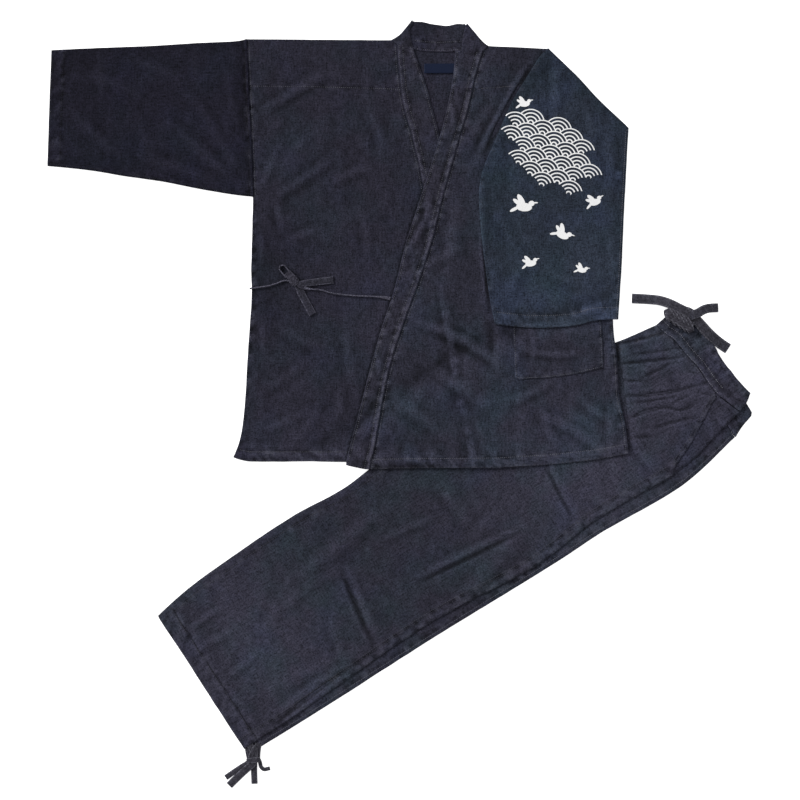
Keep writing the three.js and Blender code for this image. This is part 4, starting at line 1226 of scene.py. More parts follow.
columns_x = FIELD_LOW[0] + CELL * np.arange(FIELD_COLUMNS)
rows_y = FIELD_LOW[1] + CELL * np.arange(FIELD_ROWS)
grid_points = np.stack(np.meshgrid(columns_x, rows_y), axis=-1).reshape(-1, 2)
pile_top = np.zeros((FIELD_ROWS, FIELD_COLUMNS))


def run_mean(values, reach):
    """A running mean over a few cells each way."""
    kernel = np.ones(2 * reach + 1) / (2 * reach + 1)
    across = np.apply_along_axis(np.convolve, 1, values, kernel, mode="same")
    return np.apply_along_axis(np.convolve, 0, across, kernel, mode="same")


def widened(values, reach):
    """The highest of the cells round each cell."""
    best = values.copy()
    for axis in (0, 1):
        source = best.copy()
        for shift in range(-reach, reach + 1):
            best = np.maximum(best, np.roll(source, shift, axis))
    return best


def spread(values, known, reach):
    """A field with its unknown cells filled from the known ones beside them."""
    filled = np.where(known, values, 0.0)
    mask = known.astype(float)
    for _ in range(4):
        weight = run_mean(mask, reach)
        mean = run_mean(filled * mask, reach) / np.maximum(weight, 1e-6)
        new = (mask < 0.5) & (weight > 1e-3)
        filled = np.where(new, mean, filled)
        mask = np.where(new, 1.0, mask)
    return filled


def softened(values, known, reach):
    """A field with its facets smoothed away, only from cells that are known."""
    mask = known.astype(float)
    weight = run_mean(mask, reach)
    return np.where(weight > 1e-3, run_mean(values * mask, reach) / np.maximum(weight, 1e-6), values)


def cells_near(outline, margin):
    low = np.maximum(((outline.min(0) - margin - FIELD_LOW) / CELL).astype(int), 0)
    high = ((outline.max(0) + margin - FIELD_LOW) / CELL).astype(int) + 2
    return slice(low[1], high[1]), slice(low[0], high[0])


def frame_heights(node, from_above=True):
    """The height of a frame node's top, or of its underside, over the field, and where it is known."""
    points, triangles = frame_mesh(node)
    tree = BVHTree.FromPolygons([Vector(p) for p in points], triangles.tolist())
    rows, columns = cells_near(points[:, :2], CELL)
    start, way = (RAY_TOP, Vector((0, 0, -1))) if from_above else (RAY_BOTTOM, Vector((0, 0, 1)))
    heights = np.zeros_like(pile_top)
    known = np.zeros(pile_top.shape, bool)
    for r in range(rows.start, min(rows.stop, FIELD_ROWS)):
        for c in range(columns.start, min(columns.stop, FIELD_COLUMNS)):
            place = tree.ray_cast(Vector((columns_x[c], rows_y[r], start)), way)[0]
            if place is not None:
                heights[r, c] = place.z
                known[r, c] = True
    return heights, known


def sample(field, points):
    """A field's value between its cells."""
    scaled = (points - FIELD_LOW) / CELL
    cell = np.clip(scaled.astype(int), 0, [FIELD_COLUMNS - 2, FIELD_ROWS - 2])
    part = scaled - cell
    c, r = cell[:, 0], cell[:, 1]
    lower = field[r, c] * (1 - part[:, 0]) + field[r, c + 1] * part[:, 0]
    upper = field[r + 1, c] * (1 - part[:, 0]) + field[r + 1, c + 1] * part[:, 0]
    return lower * (1 - part[:, 1]) + upper * part[:, 1]


def inside(points, outline):
    """Which points an outline holds."""
    order = np.argsort(points[:, 1], kind="stable")
    x, y = points[order].T
    held = np.zeros(len(points), bool)
    for (ax, ay), (bx, by) in zip(outline, np.roll(outline, -1, 0)):
        if ay == by:
            continue
        level = slice(*np.searchsorted(y, [min(ay, by), max(ay, by)], side="right"))
        held[level] ^= x[level] < (bx - ax) * (y[level] - ay) / (by - ay) + ax
    found = np.zeros(len(points), bool)
    found[order] = held
    return found


# %% [markdown]
# ## The sheet itself
# The net of triangles comes from a constrained Delaunay triangulation: the outline is a fixed line in
# it, and a honeycomb of points fills the rest. A subdivided grid would need its border bent to the
# outline, and the corners would tear. The sheet is closed: a top, an underside and a rounded rim, so
# it also looks right from the side.

# %% Triangles inside an outline
HONEYCOMB_ROW = 0.866


def netted(outline, spacing):
    """Points and triangles that fill an outline."""
    low, high = outline.min(0), outline.max(0)
    rows = np.arange(low[1] + spacing / 2, high[1], spacing * HONEYCOMB_ROW)
    columns = np.arange(low[0], high[0], spacing)
    shifts = (np.arange(len(rows)) % 2) * spacing / 2
    candidates = np.stack([columns[None, :] + shifts[:, None], np.repeat(rows[:, None], len(columns), 1)], -1)
    candidates = candidates.reshape(-1, 2)
    marks = even_steps(outline, 0.5, closed=True)
    blocked = np.zeros(tuple((high - low).astype(int) + 12), bool)
    where = (marks - low).astype(int) + 5
    blocked[where[:, 0], where[:, 1]] = True
    reach = max(1, int(round(0.42 * spacing)))
    blocked = widened(blocked.astype(np.int8), reach).astype(bool)
    spots = (candidates - low).astype(int) + 5
    candidates = candidates[~blocked[spots[:, 0], spots[:, 1]]]
    candidates = candidates[inside(candidates, outline)]
    points = np.vstack([outline, candidates])
    count = len(outline)
    edges = [(k, (k + 1) % count) for k in range(count)]
    made = delaunay_2d_cdt([Vector(p) for p in points], edges, [], 0, 1e-4)
    places = np.array([tuple(p) for p in made[0]])
    triangles = np.array([tuple(f) for f in made[2]])
    triangles = triangles[inside(places[triangles].mean(axis=1), outline)]
    used, renumbered = np.unique(triangles, return_inverse=True)
    return places[used], renumbered.reshape(-1, 3)


def rim_of(points, triangles):
    """The border of a net: its edges in order, and each border point's way into the cloth."""
    loop = longest_loop(open_edges(triangles))
    return np.array(loop), -ways_out(points[loop])


def grain_of(points, angle):
    """The grain map of points on the cloth: metres across and along its warp."""
    turn = math.radians(angle)
    warp = np.array([math.sin(-turn), math.cos(turn)])
    weft = np.array([math.cos(turn), math.sin(turn)])
    return np.stack([points @ weft, points @ warp], axis=1) * MM


# %% One flat sheet of cloth
EDGE_ROUND = 0.45
MEETING = 0.7
# How deep a hollow must be to be painted fully dark, and how far round a point the painted cavity shade
# looks.
RELIEF_DEPTH = 0.55
RELIEF_REACH = 8.0
# Painted shade along the rolled edge of a sheet.
EDGE_SHADE = -0.7
cloths = {}


def painted_cavity_shade(triangles, heights, spacing):
    """How far each point stands over or under the cloth round it, from -1 to 1, used as painted shade in
    hollows and painted light on crests.
    """
    a = triangles.ravel()
    b = np.roll(triangles, 1, axis=1).ravel()
    size = len(heights)
    shares = np.bincount(a, minlength=size) + np.bincount(b, minlength=size)
    mean = heights
    for _ in range(max(2, int((RELIEF_REACH / spacing) ** 2 * 2))):
        mean = (np.bincount(a, mean[b], size) + np.bincount(b, mean[a], size)) / shares
    return np.clip((heights - mean) / RELIEF_DEPTH, -1, 1)


# Each row is a place, how wide an area round it is painted lighter or darker, and by how much.
PAINTED_LIGHT_AND_SHADE = [
    ((215, -60), 110, 0.3),
    ((330, -190), 125, 0.62),
    ((480, 0), 95, 0.66),
    ((335, -135), 65, 0.35),
    ((170, -205), 85, 0.24),
    ((-290, -345), 70, 0.3),
    ((232, 140), 40, 0.3),
    ((225, 530), 45, -0.35),
    ((40, 600), 35, -0.5),
    ((100, 500), 45, 0.2),
    ((-225, -440), 120, 0.68),
    ((-60, -520), 90, 0.12),
    ((-310, 400), 90, 0.25),
    ((-565, 520), 75, -0.3),
    ((-240, 180), 75, -0.45),
    ((-240, 480), 60, -0.2),
    ((-40, 125), 95, 0.26),
    ((-175, -85), 65, 0.42),
    ((340, 190), 85, 0.36),
    ((90, 10), 60, -0.14),
]


def painted_light_and_shade(points):
    """Wide pools of painted light, and of painted shade where the share is below zero, added to the painted
    shade map.
    """
    level = np.zeros(len(points))
    for place, reach, share in PAINTED_LIGHT_AND_SHADE:
        level += share * np.exp(-(((points - place) / reach) ** 2).sum(axis=1))
    return level


def resting(heights, known, outline, follow=1):
    """Where a piece's underside lies: on the frame's level, or on the pile where that is higher."""
    under = softened(spread(heights, known, 1), spread(known * 1.0, known, 1) > 0, follow)
    rows, columns = cells_near(outline, 2 * CELL)
    needed = widened(pile_top, 1) + CLEAR
    raised = np.maximum(under, np.where(pile_top > 0, needed, 0))
    soft = np.maximum(run_mean(raised, 1), raised - 0.15)
    field = np.zeros_like(pile_top)
    field[rows, columns] = soft[rows, columns]
    return field


def edge_of(node, spacing, sway, meets):
    """A node's outline as an edge of cloth, pushed out where it meets the cloth it is sewn to."""
    outline = cloth_edge(OUTLINES[node], spacing, sway)
    for start, end in meets:
        outline = pushed(outline, start, end, MEETING)
    return outline


def settle(made, name, node, top, outline, grain):
    """Add a new sheet's top to the pile, hang the sheet under the root, hide the frame node it stands for and
    keep it in cloths.
    """
    covered = inside(grid_points, outline).reshape(pile_top.shape)
    heights, _ = top(grid_points[covered.ravel()])
    pile_top[covered] = np.maximum(pile_top[covered], heights)
    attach(made, "root")
    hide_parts(node)
    cloths[name] = {"object": made, "top": top, "outline": outline, "grain": grain}
    print(name, "has", len(made.data.polygons), "faces")


def lay_cloth(
    name, node, thick, features, spacing, grain, material, sway=0.35, follow=1, meets=(), edge_wear_and_shade=EDGE_SHADE,
    sewn_to=(),
):
    """A panel as a closed sheet over the pile, with the heights of its features and a painted shade map. Its
    top joins the pile.
    """
    outline = edge_of(node, spacing, sway, meets)
    heights, known = frame_heights(node)
    field = resting(heights - thick, known, outline, follow)
    shape = relief_of(features)

    def top(points):
        height, wear = shape(points)
        return sample(field, points) + thick + height, wear

    flat, triangles = netted(outline, spacing)
    loop, into = rim_of(flat, triangles)
    high, wear = top(flat)
    inset = flat.copy()
    inset[loop] += into * EDGE_ROUND * thick
    upper = np.column_stack([inset, high])
    lower = np.column_stack([inset, np.maximum(high - thick, 0.0)])
    middle = np.column_stack([flat[loop], high[loop] - thick * 0.5])
    middle[:, 2] = np.maximum(middle[:, 2], 0.3)
    count = len(flat)
    ring = 2 * count + np.arange(len(loop))
    nexts = np.roll(loop, -1)
    ring_next = np.roll(ring, -1)
    faces = triangles.tolist()
    faces += (triangles[:, ::-1] + count).tolist()
    faces += np.stack([ring, ring_next, nexts, loop], axis=1).tolist()
    faces += np.stack([loop + count, nexts + count, ring_next, ring], axis=1).tolist()
    made = mesh_object(name, np.vstack([upper, lower, middle]) * MM, faces, material)
    places = np.vstack([inset, inset, flat[loop]])
    rubbed = np.concatenate([wear, wear * 0, np.clip(wear[loop] + 0.1 + max(edge_wear_and_shade, 0), 0, 1)])
    # Painted shade in hollows and painted light on crests, with wide pools of painted light and shade.
    relief = painted_cavity_shade(triangles, high, spacing) + painted_light_and_shade(flat)
    # The rim ring's painted shade: dark by default, painted light where the value is above zero, where it
    # also adds wear.
    edge = np.full(len(loop), edge_wear_and_shade)
    # Along sewn edges the rim ring and the border are painted light in place of the edge shade.
    for line in sewn_to:
        index, away, *_ = line_frame(flat[loop], line, 4.0)
        sewn_here = index[away < 2.0]
        edge[sewn_here] = 1.0
        relief[loop[sewn_here]] = 0.7
    relief = np.concatenate([relief, relief * 0, edge])
    finish_mesh(made, grain_of(places, grain), rubbed, relief)
    settle(made, name, node, top, outline, grain)


# %% A flattened tube of cloth
WALL = 1.0
SLIT = 0.4
FOLD_INSET = 1.3
TUBE_SPACING = 3.2
TUBE_SWAY = 0.3


def lay_tube(name, node, features, grain, material, open_ends, meets=()):
    """A sleeve lying flat: two walls joined along its folds and open at its ends."""
    outline = edge_of(node, TUBE_SPACING, TUBE_SWAY, meets)
    below, below_known = frame_heights(node, from_above=False)
    under = resting(below, below_known, outline)
    above, above_known = frame_heights(node)
    over = softened(spread(above, above_known, 1), spread(above_known * 1.0, above_known, 1) > 0, 2)
    shape = relief_of(features)

    def top(points):
        height, wear = shape(points)
        least = sample(under, points) + 2 * WALL + SLIT
        return np.maximum(sample(over, points) + height, least + 0.3 * np.maximum(height, 0)), wear

    flat, triangles = netted(outline, TUBE_SPACING)
    loop, into = rim_of(flat, triangles)
    high, wear = top(flat)
    low = sample(under, flat)
    edge = flat[loop]
    middles = (edge + np.roll(edge, -1, 0)) / 2
    is_open = np.zeros(len(loop), bool)
    for start, end in open_ends:
        index, away, *_ = line_frame(middles, part_of(outline, start, end, 4.0), 4.0)
        is_open[index[away < 1.2]] = True
    folded = ~(is_open & np.roll(is_open, 1))
    outer = flat.copy()
    outer[loop] += into * (EDGE_ROUND * WALL) * folded[:, None]
    inner = flat.copy()
    inner[loop] += into * FOLD_INSET * folded[:, None]
    layers = [
        np.column_stack([outer, high]),
        np.column_stack([inner, high - WALL]),
        np.column_stack([inner, low + WALL]),
        np.column_stack([outer, low]),
        np.column_stack([edge, (high[loop] + low[loop]) / 2]),
    ]
    count = len(flat)
    top_in, low_in, low_out = count, 2 * count, 3 * count
    ring = 4 * count + np.arange(len(loop))
    faces = triangles.tolist()
    faces += (triangles[:, ::-1] + top_in).tolist()
    faces += (triangles + low_in).tolist()
    faces += (triangles[:, ::-1] + low_out).tolist()
    for k in range(len(loop)):
        n = (k + 1) % len(loop)
        u, v = int(loop[k]), int(loop[n])
        a, b = int(ring[k]), int(ring[n])
        if is_open[k]:
            faces.append((u + top_in, v + top_in, v, u))
            faces.append((u + low_out, v + low_out, v + low_in, u + low_in))
        else:
            faces.append((a, b, v, u))
            faces.append((u + low_out, v + low_out, b, a))
            faces.append((u + top_in, v + top_in, v + low_in, u + low_in))
        if is_open[k] != is_open[k - 1]:
            corner = (u + low_out, u + low_in, u + top_in, u, a)
            faces.append(corner if is_open[k] else corner[::-1])
    used = np.unique(np.concatenate([np.ravel(face) for face in faces]))
    renumbered = np.zeros(used[-1] + 1, int)
    renumbered[used] = np.arange(len(used))
    faces = [renumbered[list(face)].tolist() for face in faces]
    made = mesh_object(name, np.vstack(layers)[used] * MM, faces, material)
    places = np.vstack([outer, inner, inner, outer, edge])[used]
    rubbed = np.concatenate([wear, wear * 0, wear * 0, wear * 0, np.clip(wear[loop] + 0.1, 0, 1)])[used]
    # Painted shade in hollows and painted light on crests, with wide pools of painted light and shade.
    relief = painted_cavity_shade(triangles, high, TUBE_SPACING) + painted_light_and_shade(flat)
    # Painted shade along the sleeve's rolled edge.
    relief = np.concatenate([relief, relief * 0, relief * 0, relief * 0, relief[loop] * 0 + EDGE_SHADE])[used]
    finish_mesh(made, grain_of(places, grain), rubbed, relief)
    settle(made, name, node, top, outline, grain)


# %% [markdown]
# ## Stitches
# Sewing is what tells a garment from a cut-out. Each stitch is a small spindle of thread laid on the
# sheet, and a whole row is one mesh. A bump pattern could not follow the seams round corners and would
# vanish from the side.

# %% Rows of stitches
STITCH_LONG = 2.4
STITCH_WIDE = 0.8
STITCH_HIGH = 0.36
STITCH_PITCH = 3.3
STITCH_SINK = -0.12
STITCH_FOOT = 0.04


def sew(name, cloth, lines, seed, thread):
    """Rows of stitches on a laid cloth, along lines in millimetres, joined in one mesh."""
    draw = np.random.default_rng(seed)
    top = cloths[cloth]["top"]
    centres = []
    headings = []
    for line in lines:
        dense = even_steps(line, 1.0)
        places = np.arange(2.0, run_along(dense)[-1] - 2.0, STITCH_PITCH)
        places = places + draw.uniform(-0.25, 0.25, len(places))
        spots = points_at(dense, places)
        turn = draw.uniform(-0.12, 0.12, len(places))
        ahead = unit_rows(points_at(dense, places + 1.5) - spots)
        ahead = ahead + np.stack([-ahead[:, 1], ahead[:, 0]], 1) * turn[:, None]
        centres.append(spots)
        headings.append(ahead)
    centres = np.vstack(centres)
    headings = np.vstack(headings)
    sides = np.stack([-headings[:, 1], headings[:, 0]], axis=1)
    half = STITCH_LONG / 2
    belly = half * 0.55
    rows = []
    for along, across, rise in (
        (-half, 0, STITCH_SINK),
        (-belly, -1, STITCH_FOOT), (-belly, 0, STITCH_HIGH), (-belly, 1, STITCH_FOOT),
        (belly, -1, STITCH_FOOT), (belly, 0, STITCH_HIGH), (belly, 1, STITCH_FOOT),
        (half, 0, STITCH_SINK),
    ):
        flat = centres + headings * along
        height = top(flat)[0] + rise
        rows.append(np.column_stack([flat + sides * across * STITCH_WIDE / 2, height]))
    points = np.stack(rows, axis=1).reshape(-1, 3)
    pattern = [(0, 2, 1), (0, 3, 2), (1, 2, 5, 4), (2, 3, 6, 5), (4, 5, 7), (5, 6, 7), (0, 1, 4, 7, 6, 3)]
    faces = [tuple(8 * k + i for i in face) for k in range(len(centres)) for face in pattern]
    made = mesh_object(name, points * MM, faces, thread)
    finish_mesh(made, grain_of(points[:, :2], 0), np.zeros(len(points)))
    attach(made, "root")
    print(name, "has", len(centres), "stitches")
    return made


# %% A laid sheet's flat size
sheet_sizes = {}


def declare(name, layers):
    """Work out a cloth's flat size as a sheet, from what shows of it, and keep it in sheet_sizes."""
    cloth = cloths[name]
    turned = grain_of(cloth["outline"], cloth["grain"])
    width, length = turned.max(0) - turned.min(0)
    x, y = turned.T
    area = layers * abs(float(np.dot(x, np.roll(y, -1)) - np.dot(y, np.roll(x, -1)))) / 2
    flat = (layers * float(width), float(length))
    sheet_sizes[name] = [round(flat[0], 3), round(flat[1], 3), round(area, 4)]


# %% [markdown]
# ## The trousers
# The trousers are folded in half lengthwise, right leg below and left leg on top, so four layers lie
# on each other. They lie slantwise, and the corners of their outlines are easiest to give in their own
# frame, along the leg from hem to waist and up towards the crotch. The hidden layers get a coarse net,
# for they show only as a narrow border and from underneath.

# %% The trousers' own frame
TROUSER_TURN = 31.29
HEM_MIDDLE = np.array([-320.9, -487.6])
FINE = 3.0
MEDIUM = 4.5
COARSE = 8.0


def leg(along, up):
    """A point of the trousers in the plane of the floor."""
    turn = math.radians(TROUSER_TURN)
    return HEM_MIDDLE + np.array(
        [along * math.cos(turn) - up * math.sin(turn), along * math.sin(turn) + up * math.cos(turn)]
    )


def lay_trousers(name, node, thick, features, spacing, **more):
    lay_cloth(name, node, thick, features, spacing, TROUSER_TURN - 90, DENIM_TROUSERS, **more)


# %% The right leg, underneath
right_leg = OUTLINES["trousers_right_back"]
right_side = part_of(right_leg, leg(0, -135), leg(954, -111))
right_hem = part_of(right_leg, leg(-11, 131), leg(2, -128))
lay_trousers("leg_right_front", "trousers_right_front", 0.9, [washed(3, 0.12)], COARSE)
lay_trousers("band_right_front", "waistband_right_front", 1.6, [washed(4, 0.12)], COARSE)
lay_trousers(
    "leg_right_back", "trousers_right_back", 0.9,
    [
        washed(5, 0.25),
        seam(inward(right_side, 9), pucker=0.5, seed=51),
        hem(right_hem, 28, 0.6, seed=52),
    ],
    MEDIUM,
)
lay_trousers(
    "band_right_back", "waistband_right_back", 1.7,
    [washed(6, 0.3), seam([leg(972, -100), leg(975, 0), leg(966, 110)], pucker=0.9, pitch=10, seed=53)],
    FINE,
)

# %% The left leg's back layer
left_back = OUTLINES["trousers_left_back"]
left_back_side = part_of(left_back, leg(0, -131), leg(930, -92))
lay_trousers(
    "leg_left_back", "trousers_left_back", 0.9,
    [washed(7, 0.2), seam(inward(left_back_side, 2.5), pucker=0.45, seed=54)],
    COARSE,
)
lay_trousers("band_left_back", "waistband_left_back", 1.7, [washed(8, 0.2)], COARSE)
facing = OUTLINES["pocket_facing_left"]
lay_trousers("pocket_facing", "pocket_facing_left", 0.9, [washed(9, 0.3)], FINE)

# %% [markdown]
# ### The upper leg
# The left leg's front is the face of the trousers. It carries the gathers of the elastic waist, long
# soft creases from having been folded away, the hem casing and two rows of side-seam stitching. The
# creases are placed one by one, uneven in length and depth, as they lie in the picture.

# %% Left leg front
left_front = OUTLINES["trousers_left_front"]
side_edge = part_of(left_front, leg(0, -130), leg(834, -111.6))
hem_edge = part_of(left_front, leg(-11, 129), leg(-3, -130))
inseam_edge = part_of(left_front, leg(937, 112), leg(-11, 129))
waist_edge = part_of(left_front, leg(966, -36), leg(939.6, 112), 6.0)
opening_edge = part_of(left_front, leg(845, -101.5), leg(962, -38), 6.0)

LEG_CREASES = [
    ((25, -318), (95, -284), (202, -232), 1.1, 9),
    ((-30, -256), (15, -232), (66, -215), 0.8, 8),
    ((-88, -300), (-62, -366), (-30, -427), 0.9, 10),
    ((-234, -413), (-190, -345), (-91, -297), 0.8, 12),
    ((-205, -545), (-150, -496), (-90, -461), 1.3, 8),
    ((-50, -474), (40, -410), (134, -352), 1.0, 9),
    ((120, -358), (200, -300), (270, -263), 0.8, 8),
    ((247, -130), (268, -178), (293, -214), 1.7, 8),
    ((293, -214), (296, -238), (290, -262), 0.9, 8),
    ((-346, -402), (-318, -380), (-292, -366), 1.2, 7),
    ((-330, -432), (-300, -420), (-270, -398), 0.9, 8),
    ((-300, -488), (-262, -470), (-236, -440), 0.8, 8),
    ((60, -160), (90, -190), (110, -232), 0.7, 12),
    ((330, -86), (352, -120), (360, -160), 0.9, 10),
    ((376, -70), (392, -112), (420, -140), 0.8, 9),
    ((-120, -380), (-100, -420), (-96, -452), 0.6, 10),
    ((180, -190), (150, -215), (110, -262), 0.6, 11),
]


def crease_rows(rows, scale=0.6, widen=1.35):
    """Creases from rows of (start, middle, end, height, half width), made lower and wider."""
    return [crease(*curve, high * scale, half * widen) for *curve, high, half in rows]


WAIST_FOLDS = [
    ((352, 34), (410, 36), (472, 47), -1.9, 4.6),
    ((346, 65), (394, 72), (440, 86), -1.4, 4.4),
    ((384, 50), (424, 53), (464, 61), -0.9, 3.8),
    ((396, 12), (424, 20), (456, 41), -1.2, 4.4),
    ((360, -18), (432, -22), (510, 5), -1.7, 5.0),
    ((378, -30), (424, -28), (474, -14), -1.0, 4.0),
    ((374, -58), (424, -34), (448, -38), -1.8, 4.8),
    ((444, -37), (466, -50), (484, -32), -1.3, 4.0),
    ((446, -34), (458, -26), (480, -14), -1.1, 3.8),
    ((416, -72), (452, -60), (496, -52), -0.9, 4.4),
    ((470, 22), (488, 20), (500, 12), -0.9, 3.4),
    ((452, 58), (466, 62), (476, 58), -0.8, 3.2),
    ((486, -14), (504, -14), (520, -20), -0.9, 3.6),
    ((370, 96), (392, 98), (414, 104), -0.8, 4.0),
    ((360, 8), (384, 4), (404, 8), -0.8, 4.4),
    ((346, -96), (384, -84), (424, -86), -0.7, 6.0),
]


lay_trousers(
    "leg_left_front", "trousers_left_front", 0.9,
    [
        washed(21, 0.3),
        *crease_rows(LEG_CREASES),
        *crease_rows(WAIST_FOLDS, 1.0, 1.0),
        # A valley along the jacket's side edge; the painted shade map darkens it into a painted shadow of the
        # jacket on the trousers.
        crease((358, 95), (361, -10), (383, -116), -2.4, 7),
        crease((243, -136), (262, -180), (284, -218), -1.3, 6.5),
        crease((-96, -304), (-72, -368), (-42, -432), -0.9, 8),
        crease((30, -326), (100, -292), (205, -240), -0.8, 7),
        crease((-208, -563), (-148, -514), (-90, -470), -1.6, 6),
        hem(hem_edge, 25, 0.5, 0.5, 9, 0.5, seed=22),
        seam(inward(hem_edge, 26), 1.4, 0.8, 8, 9, 0.6, seed=23),
        seam(inward(side_edge, 2), 0.2, 0.45, 6, 8, 0.8, seed=24),
        seam(inward(side_edge, 13), 0.5, 0.5, 6, 8, 0.6, seed=25),
        seam(inward(inseam_edge, 12), 0.3, 0.4, 6, 9, 0.5, seed=26),
        seam(inward(waist_edge, 1.5), 0.5, 0.7, 6, 6, 0.8, seed=27),
        seam(inward(opening_edge, 5), 0.4, 0.5, 6, 6, 0.9, seed=28),
    ],
    FINE, sway=0.6, follow=3,
)

# %% Left waistband front
left_band = OUTLINES["waistband_left_front"]
band_seam = part_of(left_band, leg(939.6, 114.2), leg(966.3, -36), 6.0)
band_edge = part_of(left_band, leg(1013, -62), leg(984, 122), 6.0)
lay_trousers(
    "band_left_front", "waistband_left_front", 1.8,
    [
        washed(31, 0.25, 12),
        seam(inward(band_seam, 1.8), 0.4, 0.4, 4, 5, 1.0, seed=32),
        seam(inward(band_seam, 13), 0.5, 0.42, 6, 4.5, 1.0, seed=33),
        seam(inward(band_edge, 7), 0.35, 0.5, 6, 4.5, 0.9, seed=34),
        seam([(517.8, 7.9), (524, 17), (531, 27)], 0.7, 0.35, 4, 4.5, 0.9, seed=35),
        crease((505, 60), (512, 46), (528, 38), 0.6, 5),
        crease((548, -14), (556, -22), (570, -26), 0.6, 4),
    ],
    2.4, sway=1.3,
)

# %% [markdown]
# ## The jacket's body
# The body is laid over the trousers from the back up: back panel, collar, right front with its band,
# label, then the left front with its band, which crosses over. The neckbands are doubled, and their
# seam pulls small puckers into the cloth beside it.

# %% Back, collar and label
back = OUTLINES["jacket_back"]
back_hem = part_of(back, (-268, -117), (371, -109))
lay_cloth(
    "body_back", "jacket_back", 0.9,
    [washed(41, 0.3), hem(back_hem, 16, 0.5, seed=42)],
    6.5, 0, DENIM_BODY,
)
collar = OUTLINES["collar_back"]
collar_foot = part_of(collar, (0, 564), (130, 557), 6.0)
lay_cloth(
    "collar", "collar_back", 1.7,
    [
        washed(43, 0.25, 14),
        seam(inward(collar_foot, 2), 0.5, 0.5, 4, 5, 0.9, seed=44),
        seam([(22, 567), (62, 564), (106, 566)], 0.4, 0.4, 4, 5, 0.7, seed=45),
    ],
    2.5, 90, DENIM_BAND, edge_wear_and_shade=0.3,
    meets=[((0, 564), (130, 557)), ((130, 557), (107, 594.2)), ((23, 598.5), (0, 564))],
)

# %% Right front
right_front = OUTLINES["jacket_front_right"]
right_hem_edge = part_of(right_front, (-268, -123), (118, -129))
right_band_seam = part_of(right_front, (121, -129), (-2, 560))
right_armhole = part_of(right_front, (-252, 569), (-241.8, 309.7))
right_side_seam = part_of(right_front, (-241.8, 309.7), (-274, -120))
left_free = part_of(OUTLINES["neckband_left"], (91.8, 549), (-87.8, -132))
RIGHT_FRONT_CREASES = [
    ((-232, 446), (-180, 486), (-108, 521), 1.3, 11),
    ((-216, 305), (-168, 332), (-108, 377), 1.2, 10),
    ((-203, 300), (-200, 278), (-193, 256), 1.0, 8),
    ((-137, 259), (-160, 244), (-189, 238), 0.9, 9),
    ((-236, 318), (-214, 352), (-200, 402), 0.9, 10),
    ((-120, 330), (-82, 352), (-38, 360), 0.8, 10),
    ((-232, 250), (-226, 222), (-230, 188), 0.8, 8),
    ((-232, 122), (-222, 86), (-226, 40), 0.9, 9),
    ((-200, 96), (-168, 70), (-118, 62), 0.7, 10),
    ((-236, -10), (-196, 4), (-150, 40), 0.8, 11),
    ((-240, -74), (-200, -70), (-152, -40), 0.8, 11),
    ((-176, -96), (-140, -60), (-128, -12), 0.7, 10),
    ((-96, 96), (-78, 50), (-84, -8), 0.6, 11),
    ((-70, 300), (-52, 258), (-54, 210), 0.6, 10),
    ((-110, -70), (-96, -40), (-98, 4), 0.5, 10),
    ((-58, 470), (-36, 430), (-26, 380), 0.7, 10),
]
lay_cloth(
    "body_front_right", "jacket_front_right", 0.9,
    [
        washed(51, 0.3),
        *crease_rows(RIGHT_FRONT_CREASES),
        hem(right_hem_edge, 16, 0.5, 0.45, 8, 0.95, seed=52),
        seam(inward(right_hem_edge, 16), 0.3, 0.45, 6, 8, 0.6, seed=53),
        seam(inward(right_armhole, 4), 0.3, 0.4, 6, 8, 0.55, seed=54),
        seam(inward(right_side_seam, 3), 0.2, 0.5, 7, 8, 0.5, seed=55),
        seam(inward(right_band_seam, 4), 0.35, 0.55, 7, 7, 0.55, seed=56),
        seam([(-246, 492), (-140, 491), (-30, 488), (10, 486)], 0.35, 0.3, 5, 8, 0.4, seed=57),
        # A groove just outside the left band's free edge; the painted shade map darkens it into a painted
        # shadow of the band.
        seam(inward(left_free, -1.6), 1.0, 0.1, 3, 7, 0.0, seed=58),
    ],
    FINE, 0, DENIM_BODY, sway=0.45, sewn_to=[right_band_seam],
)

# %% Right neckband
right_band = OUTLINES["neckband_right"]
right_free = part_of(right_band, (161, -129), (21.4, 560))
right_sewn = part_of(right_band, (-2.6, 560), (122, -129))
lay_cloth(
    "band_right", "neckband_right", 1.7,
    [
        washed(61, 0.3, 16),
        seam(inward(right_sewn, 1.8), 0.35, 0.6, 5, 6, 0.9, seed=62),
        seam(inward(right_sewn, 8), 0.35, 0.45, 5, 6, 0.5, seed=63),
        seam(inward(right_free, 4), 0.3, 0.5, 5, 7, 0.6, seed=64),
    ],
    FINE, 8, DENIM_BAND, edge_wear_and_shade=0.3, meets=[((-13.2, 567.6), (122, -129))],
)

# %% Neck label
lay_cloth("label", "neck_label", 0.6, [washed(65, 0.12, 10)], 2.0, 90, LABEL_SATIN, sway=0.0)

